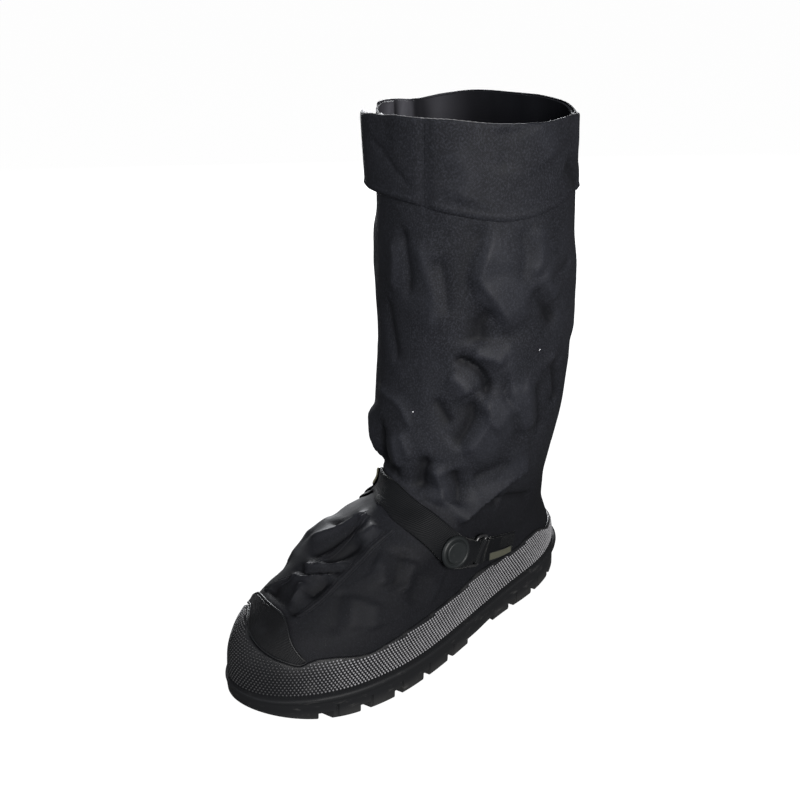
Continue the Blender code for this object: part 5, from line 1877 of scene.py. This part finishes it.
def make_stitches(sizes, colours):
    """Rows of black stitches on seams and tab."""
    thread = shared("black_thread", twisted_finish, colours.thread)
    rows = stitch_shaper().grown("stitch_rows", path_mesh("stitch_rows", stitch_lines(sizes)), {
        "Pitch": sizes.stitch_pitch,
        "Length": sizes.stitch_length,
        "Thickness": sizes.stitch_thickness,
        "Finish": thread,
    })
    add_piece("stitch_rows", rows, (thread,))


def tape_strip(name, columns, height, lift, wall, sizes):
    """Strip of tape whose outer face lies a given distance off the creased cloth."""
    lift = lift + relief(columns, height, sizes)
    outer = skin(columns, height, lift)
    return shell_mesh(name, outer, skin(columns, height, lift - wall), grid_chart(outer))


def make_tape(sizes, colours):
    """Pale hook tape inside the cuff's loose end and inside the collar."""
    tape = shared("pale_hook_tape", tape_finish, colours)
    columns = np.linspace(TAPE_FROM, CUFF_END - 0.6, 36)
    height = cuff_top(columns) - 0.2 - np.linspace(TAPE_DEPTH, 0.0, 16)[:, None]
    lift = FIT_GAP + cuff_stand_off(columns, height) - 0.15
    strip = tape_strip("flap_tape", columns, height, lift, TAPE_WALL, sizes)
    columns = np.linspace(*COLLAR_TAPE, 46)
    height = rim_top(columns) - 0.1 - np.linspace(COLLAR_TAPE_DEPTH, 0.0, 14)[:, None]
    wall = 0.4 + 0.9 * ease((columns - COLLAR_TAPE[0]) / 30.0)
    collar = tape_strip("collar_tape", columns, height, -CLOTH_WALL - 0.1, wall, sizes)
    add_piece("hook_tape", join_meshes("hook_tape", [strip, collar]), (tape, tape))
    make_fray(sizes, colours)
    make_edge_highlight_cord(sizes, colours)


def make_fray(sizes, colours):
    """Loose fibres along the cuff's two ends and on its loose end's upper edge."""
    flap_depth, band_depth = FRAY_DEPTHS
    flap_end = np.full(24, CUFF_END - 0.3)
    height = rim_top(flap_end) + CUFF_RISE - CUFF_DROP - np.linspace(0.0, flap_depth, 24)
    lift = FIT_GAP + cuff_stand_off(flap_end, height) + CUFF_WALL * 0.5
    ends = [(flap_end, height, lift)]
    band_end = np.full(24, 360 + CUFF_START + 0.3)
    height = rim_top(band_end) + CUFF_RISE - np.linspace(0.0, band_depth, 24)
    ends.append((band_end, height, FIT_GAP + CUFF_WALL * 0.5))
    paths = [(skin(*end), skin_out(*end[:2]) * 0.3 + (0, -0.3, 0.6)) for end in ends]
    columns = np.linspace(FRAY_FROM, CUFF_END, 30)
    height = cuff_top(columns)
    line = skin(columns, height, FIT_GAP + cuff_stand_off(columns, height))
    paths.append((line, np.broadcast_to((0.0, 0.0, 1.0), line.shape)))
    fluff = shared("white_fibre", twisted_finish, colours.tape)
    hairs = fibre_shaper().grown("frayed_edge", path_mesh("frayed_edge", paths), {
        "Pitch": sizes.fibre_pitch,
        "Length": sizes.fibre_length,
        "Thickness": sizes.fibre_thickness,
        "Finish": fluff,
    })
    add_piece("frayed_edge", hairs, (fluff,))


def make_edge_highlight_cord(sizes, colours):
    """Uneven grey cord along the front of the cuff's upper edge, which paints the highlight on that edge."""
    columns = np.linspace(EDGE_HIGHLIGHT_FROM, CUFF_END - 0.5, 150)
    height = cuff_top(columns) - 0.1
    lift = FIT_GAP + cuff_stand_off(columns, height) + relief(columns, height, sizes) + 0.2
    radius = (0.40 + 0.12 * np.sin(columns * 1.7)) * (0.2 + 0.8 * ease((columns - EDGE_HIGHLIGHT_FROM) / 20.0))
    cord = tube_mesh("collar_edge_highlight", skin(columns, height, lift), radius, 6)
    # The cord's grey paints the highlight along the cuff's top edge
    grey = shared("grey_edge_thread", twisted_finish, colours.edge)
    add_piece("collar_edge_highlight", cord, (grey,))


def make_label(sizes, colours):
    """Small plain woven label on the tab."""
    station = np.linspace(*LABEL_STATIONS, 26)
    across = np.linspace(*LABEL_ACROSS, 12)
    lift = WEB_SEAT + 2 * WEB_WALL + FIT_GAP + 0.15
    lower = strap_point(station, across[:, None], lift)
    upper = strap_point(station, across[:, None], lift + LABEL_WALL)
    edge_along = np.minimum(station - station[0], station[-1] - station) / LABEL_BORDER
    edge_across = np.minimum(across[0] - across, across - across[-1])[:, None] / LABEL_BORDER
    border = 1 - ease(np.minimum(edge_along, edge_across))
    values = {"border": (border, border)}
    mesh = shell_mesh("plain_label", upper, lower, grid_chart(upper), values=values)
    cloth = shared("label_weave", label_finish, colours)
    add_piece("plain_label", mesh, (cloth, cloth))


def make_lint(sizes, colours):
    """A few pale fibres that cling to the cloth."""
    fluff = shared("white_fibre", twisted_finish, colours.tape)
    meshes = []
    for around, level in LINT_PLACES:
        columns = around + np.array((0.0, 0.35, 0.7, 0.9))
        height = level + np.array((0.0, 0.5, 0.2, -0.5))
        line = skin(columns, height, 0.25 + relief(columns, height, sizes))
        meshes.append(tube_mesh("lint", line, np.array((0.1, 0.3, 0.3, 0.1)), 6))
    add_piece("lint_fibres", join_meshes("lint_fibres", meshes), (fluff,))


def declare_cloth(sizes, colours):
    """Does nothing: no flat size of the cloth is noted."""


def add_area(name, place, target, size, power, colour):
    """Soft area light."""
    light = bpy.data.lights.new(name, "AREA")
    light.shape = "RECTANGLE"
    light.size = size[0]
    light.size_y = size[1]
    light.energy = power
    light.color = colour
    obj = new_object(name, light)
    obj.location = place
    obj.rotation_euler = (Vector(target) - Vector(place)).to_track_quat("-Z", "Y").to_euler()


def make_stage(sizes, colours):
    """Pale floor, soft light and the photo's camera."""
    scene = bpy.context.scene
    floor = bpy.data.meshes.new("floor")
    shape = bmesh.new()
    bmesh.ops.create_grid(shape, x_segments=60, y_segments=60, size=FLOOR_HALF)
    for vert in shape.verts:
        beyond = max(0.0, vert.co.length - FLOOR_RADIUS)
        vert.co.z = FLOOR_RISE * beyond**2
    shape.to_mesh(floor)
    shape.free()
    obj = new_object("floor", floor)
    floor.materials.append(floor_finish("pale_floor", colours))
    obj.visible_glossy = False
    obj.visible_diffuse = False
    obj.visible_shadow = False

    world = bpy.data.worlds.new("soft_room")
    world.use_nodes = True
    sky = world.node_tree.nodes["Background"]
    sky.inputs["Color"].default_value = (1.0, 1.0, 1.0, 1.0)
    sky.inputs["Strength"].default_value = sizes.room_light
    scene.world = world
    middle = (0.0, 0.03, 0.19)
    add_area("window", (1.38, -0.58, 0.82), middle, (0.7, 0.7), sizes.window_light, (1.0, 0.985, 0.96))
    add_area("back_card", (-1.25, 1.15, 0.52), middle, (1.0, 0.7), sizes.back_light, (0.95, 0.97, 1.0))
    add_area("front_card", (-0.35, -1.30, 0.85), middle, (1.1, 0.9), sizes.card_light, (0.95, 0.97, 1.0))

    camera = bpy.data.cameras.new("photo_camera")
    camera.lens = VIEW_LENS
    camera.sensor_width = 36.0
    camera.shift_x, camera.shift_y = VIEW_SHIFT
    camera.clip_start = 0.01
    view = new_object("photo_camera", camera)
    turn = math.radians(VIEW_AZIMUTH)
    lift = math.radians(VIEW_ELEVATION)
    away = Vector((math.sin(turn) * math.cos(lift), -math.cos(turn) * math.cos(lift), math.sin(lift)))
    target = Vector(VIEW_AIM) * MM
    place = target + away * VIEW_DISTANCE * MM
    look = (target - place).to_track_quat("-Z", "Y").to_matrix()
    view.location = place
    view.rotation_euler = (look @ Matrix.Rotation(math.radians(-VIEW_ROLL), 3, "Z")).to_euler()
    scene.camera = view
    scene.view_settings.view_transform = "Standard"


def length_property(name, description, size):
    """Length that a user can change, from a size in millimetres."""
    return bpy.props.FloatProperty(
        name=name, description=description, default=size * MM, unit="LENGTH", precision=5
    )


def power_property(name, description, watts):
    """Strength of a light that a user can change."""
    return bpy.props.FloatProperty(name=name, description=description, default=watts, unit="POWER")


def share_property(name, description, value):
    """Plain number that a user can change."""
    return bpy.props.FloatProperty(name=name, description=description, default=value)


def colour_property(name, description, value):
    """Colour that a user can change."""
    return bpy.props.FloatVectorProperty(
        name=name, description=description, default=value, subtype="COLOR", size=3, min=0.0, max=1.0
    )


class OvershoeSizes(bpy.types.PropertyGroup):
    """Sizes of the shoe's fine detail and the strength of its light"""

    fold_strength: share_property("Folds", "Depth of the cloth's creases", 1.0)
    wrinkle_depth: length_property("Slack", "Depth of the cloth's fine slack", 0.55)
    stitch_pitch: length_property("Stitch pitch", "From one stitch to the next", 2.7)
    stitch_length: length_property("Stitch length", "Length of one stitch", 2.1)
    stitch_thickness: length_property("Stitch thickness", "Thickness of the thread", 0.62)
    knurl_pitch: length_property("Grip pitch", "From one stud of the rand to the next", 2.6)
    knurl_row: length_property("Grip rows", "From one row of studs to the next", 2.05)
    knurl_radius: length_property("Stud radius", "Radius of one stud at its foot", 1.0)
    knurl_height: length_property("Stud height", "Height of one stud", 0.75)
    piping_radius: length_property("Piping", "Radius of the toe cap's piped edges", 0.62)
    fibre_pitch: length_property("Fibre pitch", "From one frayed fibre to the next", 0.35)
    fibre_length: length_property("Fibre length", "Length of a frayed fibre", 2.6)
    fibre_thickness: length_property("Fibre thickness", "Thickness of a frayed fibre", 0.22)
    room_light: share_property("Room light", "Light from all round", 0.12)
    window_light: power_property("Window", "Main light", 50.0)
    back_light: power_property("Back card", "Light from behind", 60.0)
    card_light: power_property("Front card", "Fill light", 10.0)


class OvershoeColours(bpy.types.PropertyGroup):
    """Colours of the shoe's materials"""

    nylon: colour_property("Nylon", "Cloth of upper and cuff", (0.0088, 0.0093, 0.0118))
    lining: colour_property("Lining", "Inside of the shaft", (0.0030, 0.0032, 0.0044))
    loop_panel: colour_property("Loop panel", "Brushed panel inside the collar", (0.055, 0.055, 0.064))
    rand: colour_property("Rand", "Rubber of rand and toe cap", (0.0060, 0.0063, 0.0074))
    # Grip colour: the studs' pale tops, partly rubbed rubber and partly painted highlight
    knurl: colour_property("Grip", "Rubbed tops of the rand's studs", (0.20, 0.20, 0.212))
    sole: colour_property("Sole", "Moulded rubber sole", (0.0080, 0.0084, 0.0095))
    webbing: colour_property("Webbing", "Straps", (0.0036, 0.0040, 0.0048))
    cut_edge: colour_property("Cut edge", "Heat-cut end of webbing", (0.22, 0.21, 0.14))
    wire: colour_property("Wire", "Ring", (0.012, 0.012, 0.013))
    snap: colour_property("Snap", "Snap on the strap", (0.0095, 0.0110, 0.0118))
    felt: colour_property("Insole", "Felt of the insole", (0.06, 0.06, 0.062))
    thread: colour_property("Thread", "Stitches", (0.006, 0.006, 0.0075))
    tape: colour_property("Hook tape", "Pale hook tape and its fibres", (0.72, 0.72, 0.76))
    label: colour_property("Label", "Plain label on the tab", (0.05, 0.05, 0.034))
    # Collar edge colour: grey of the cord that paints the highlight along the cuff's top edge
    edge: colour_property("Collar edge", "Thread along the collar's edge", (0.10, 0.10, 0.105))
    dust: colour_property("Dust", "Dust and scuffs", (0.10, 0.098, 0.096))
    floor: colour_property("Floor", "Studio floor", (0.08, 0.08, 0.08))


class PieceOperator:
    """What every operator here shares"""

    bl_options = {"REGISTER", "UNDO"}


def run(make, context):
    """Calls a making function with the scene's sizes and colours."""
    make(context.scene.overshoe_sizes, context.scene.overshoe_colours)
    return {"FINISHED"}


class OVERSHOE_OT_upper(PieceOperator, bpy.types.Operator):
    """Make the creased nylon upper with its lining"""

    bl_idname = "overshoe.upper"
    bl_label = "Upper"

    def execute(self, context):
        return run(make_upper, context)


class OVERSHOE_OT_cuff(PieceOperator, bpy.types.Operator):
    """Make the cuff's band and its loose flap"""

    bl_idname = "overshoe.cuff"
    bl_label = "Cuff"

    def execute(self, context):
        return run(make_cuff, context)


class OVERSHOE_OT_seams(PieceOperator, bpy.types.Operator):
    """Make the raised seams of the front gusset"""

    bl_idname = "overshoe.seams"
    bl_label = "Gusset seams"

    def execute(self, context):
        return run(make_seams, context)


class OVERSHOE_OT_rand(PieceOperator, bpy.types.Operator):
    """Make the rubber rand and its grip"""

    bl_idname = "overshoe.rand"
    bl_label = "Rand"

    def execute(self, context):
        return run(make_rand, context)


class OVERSHOE_OT_cap(PieceOperator, bpy.types.Operator):
    """Make the toe cap and its piping"""

    bl_idname = "overshoe.cap"
    bl_label = "Toe cap"

    def execute(self, context):
        return run(make_cap, context)


class OVERSHOE_OT_sole(PieceOperator, bpy.types.Operator):
    """Make the lugged sole"""

    bl_idname = "overshoe.sole"
    bl_label = "Sole"

    def execute(self, context):
        return run(make_sole, context)


class OVERSHOE_OT_insole(PieceOperator, bpy.types.Operator):
    """Finish the insole board"""

    bl_idname = "overshoe.insole"
    bl_label = "Insole"

    def execute(self, context):
        return run(dress_insole, context)


class OVERSHOE_OT_webbing(PieceOperator, bpy.types.Operator):
    """Make the strap, tail, keeper and tab"""

    bl_idname = "overshoe.webbing"
    bl_label = "Webbing"

    def execute(self, context):
        return run(make_webbing, context)


class OVERSHOE_OT_ring(PieceOperator, bpy.types.Operator):
    """Make the wire ring"""

    bl_idname = "overshoe.ring"
    bl_label = "Ring"

    def execute(self, context):
        return run(make_ring, context)


class OVERSHOE_OT_snap(PieceOperator, bpy.types.Operator):
    """Make the round snap"""

    bl_idname = "overshoe.snap"
    bl_label = "Snap"

    def execute(self, context):
        return run(make_snap, context)


class OVERSHOE_OT_stitches(PieceOperator, bpy.types.Operator):
    """Make every row of stitches"""

    bl_idname = "overshoe.stitches"
    bl_label = "Stitches"

    def execute(self, context):
        return run(make_stitches, context)


class OVERSHOE_OT_tape(PieceOperator, bpy.types.Operator):
    """Make the hook tape and its frayed edges"""

    bl_idname = "overshoe.tape"
    bl_label = "Hook tape"

    def execute(self, context):
        return run(make_tape, context)


class OVERSHOE_OT_label(PieceOperator, bpy.types.Operator):
    """Make the plain label on the tab"""

    bl_idname = "overshoe.label"
    bl_label = "Label"

    def execute(self, context):
        return run(make_label, context)


class OVERSHOE_OT_lint(PieceOperator, bpy.types.Operator):
    """Make the lint that clings to the cloth"""

    bl_idname = "overshoe.lint"
    bl_label = "Lint"

    def execute(self, context):
        return run(make_lint, context)


class OVERSHOE_OT_cloth(PieceOperator, bpy.types.Operator):
    """Run the cloth step, which notes nothing"""

    bl_idname = "overshoe.cloth"
    bl_label = "Cloth sizes"

    def execute(self, context):
        return run(declare_cloth, context)


class OVERSHOE_OT_stage(PieceOperator, bpy.types.Operator):
    """Make the floor, lights and camera"""

    bl_idname = "overshoe.stage"
    bl_label = "Stage"

    def execute(self, context):
        return run(make_stage, context)


OPERATORS = (
    OVERSHOE_OT_upper,
    OVERSHOE_OT_cuff,
    OVERSHOE_OT_seams,
    OVERSHOE_OT_rand,
    OVERSHOE_OT_cap,
    OVERSHOE_OT_sole,
    OVERSHOE_OT_insole,
    OVERSHOE_OT_webbing,
    OVERSHOE_OT_ring,
    OVERSHOE_OT_snap,
    OVERSHOE_OT_stitches,
    OVERSHOE_OT_tape,
    OVERSHOE_OT_label,
    OVERSHOE_OT_lint,
    OVERSHOE_OT_cloth,
    OVERSHOE_OT_stage,
)


class OVERSHOE_PT_pieces(bpy.types.Panel):
    """Pieces of the overshoe, with their sizes and colours"""

    bl_label = "Overshoe"
    bl_space_type = "VIEW_3D"
    bl_region_type = "UI"
    bl_category = "Overshoe"

    def draw(self, context):
        for operator in OPERATORS:
            self.layout.operator(operator.bl_idname)
        for group in (context.scene.overshoe_sizes, context.scene.overshoe_colours):
            for name in group.__annotations__:
                self.layout.prop(group, name)


CLASSES = (OvershoeSizes, OvershoeColours, *OPERATORS, OVERSHOE_PT_pieces)


def register():
    """Adds the classes and the scene's settings."""
    for cls in CLASSES:
        bpy.utils.register_class(cls)
    bpy.types.Scene.overshoe_sizes = bpy.props.PointerProperty(type=OvershoeSizes)
    bpy.types.Scene.overshoe_colours = bpy.props.PointerProperty(type=OvershoeColours)


def unregister():
    """Takes the classes and settings away again."""
    del bpy.types.Scene.overshoe_colours
    del bpy.types.Scene.overshoe_sizes
    for cls in reversed(CLASSES):
        bpy.utils.unregister_class(cls)


def main():
    """Registers the classes and makes every piece in order."""
    register()
    for operator in OPERATORS:
        group, name = operator.bl_idname.split(".")
        getattr(getattr(bpy.ops, group), name)()


if __name__ == "__main__":
    main()
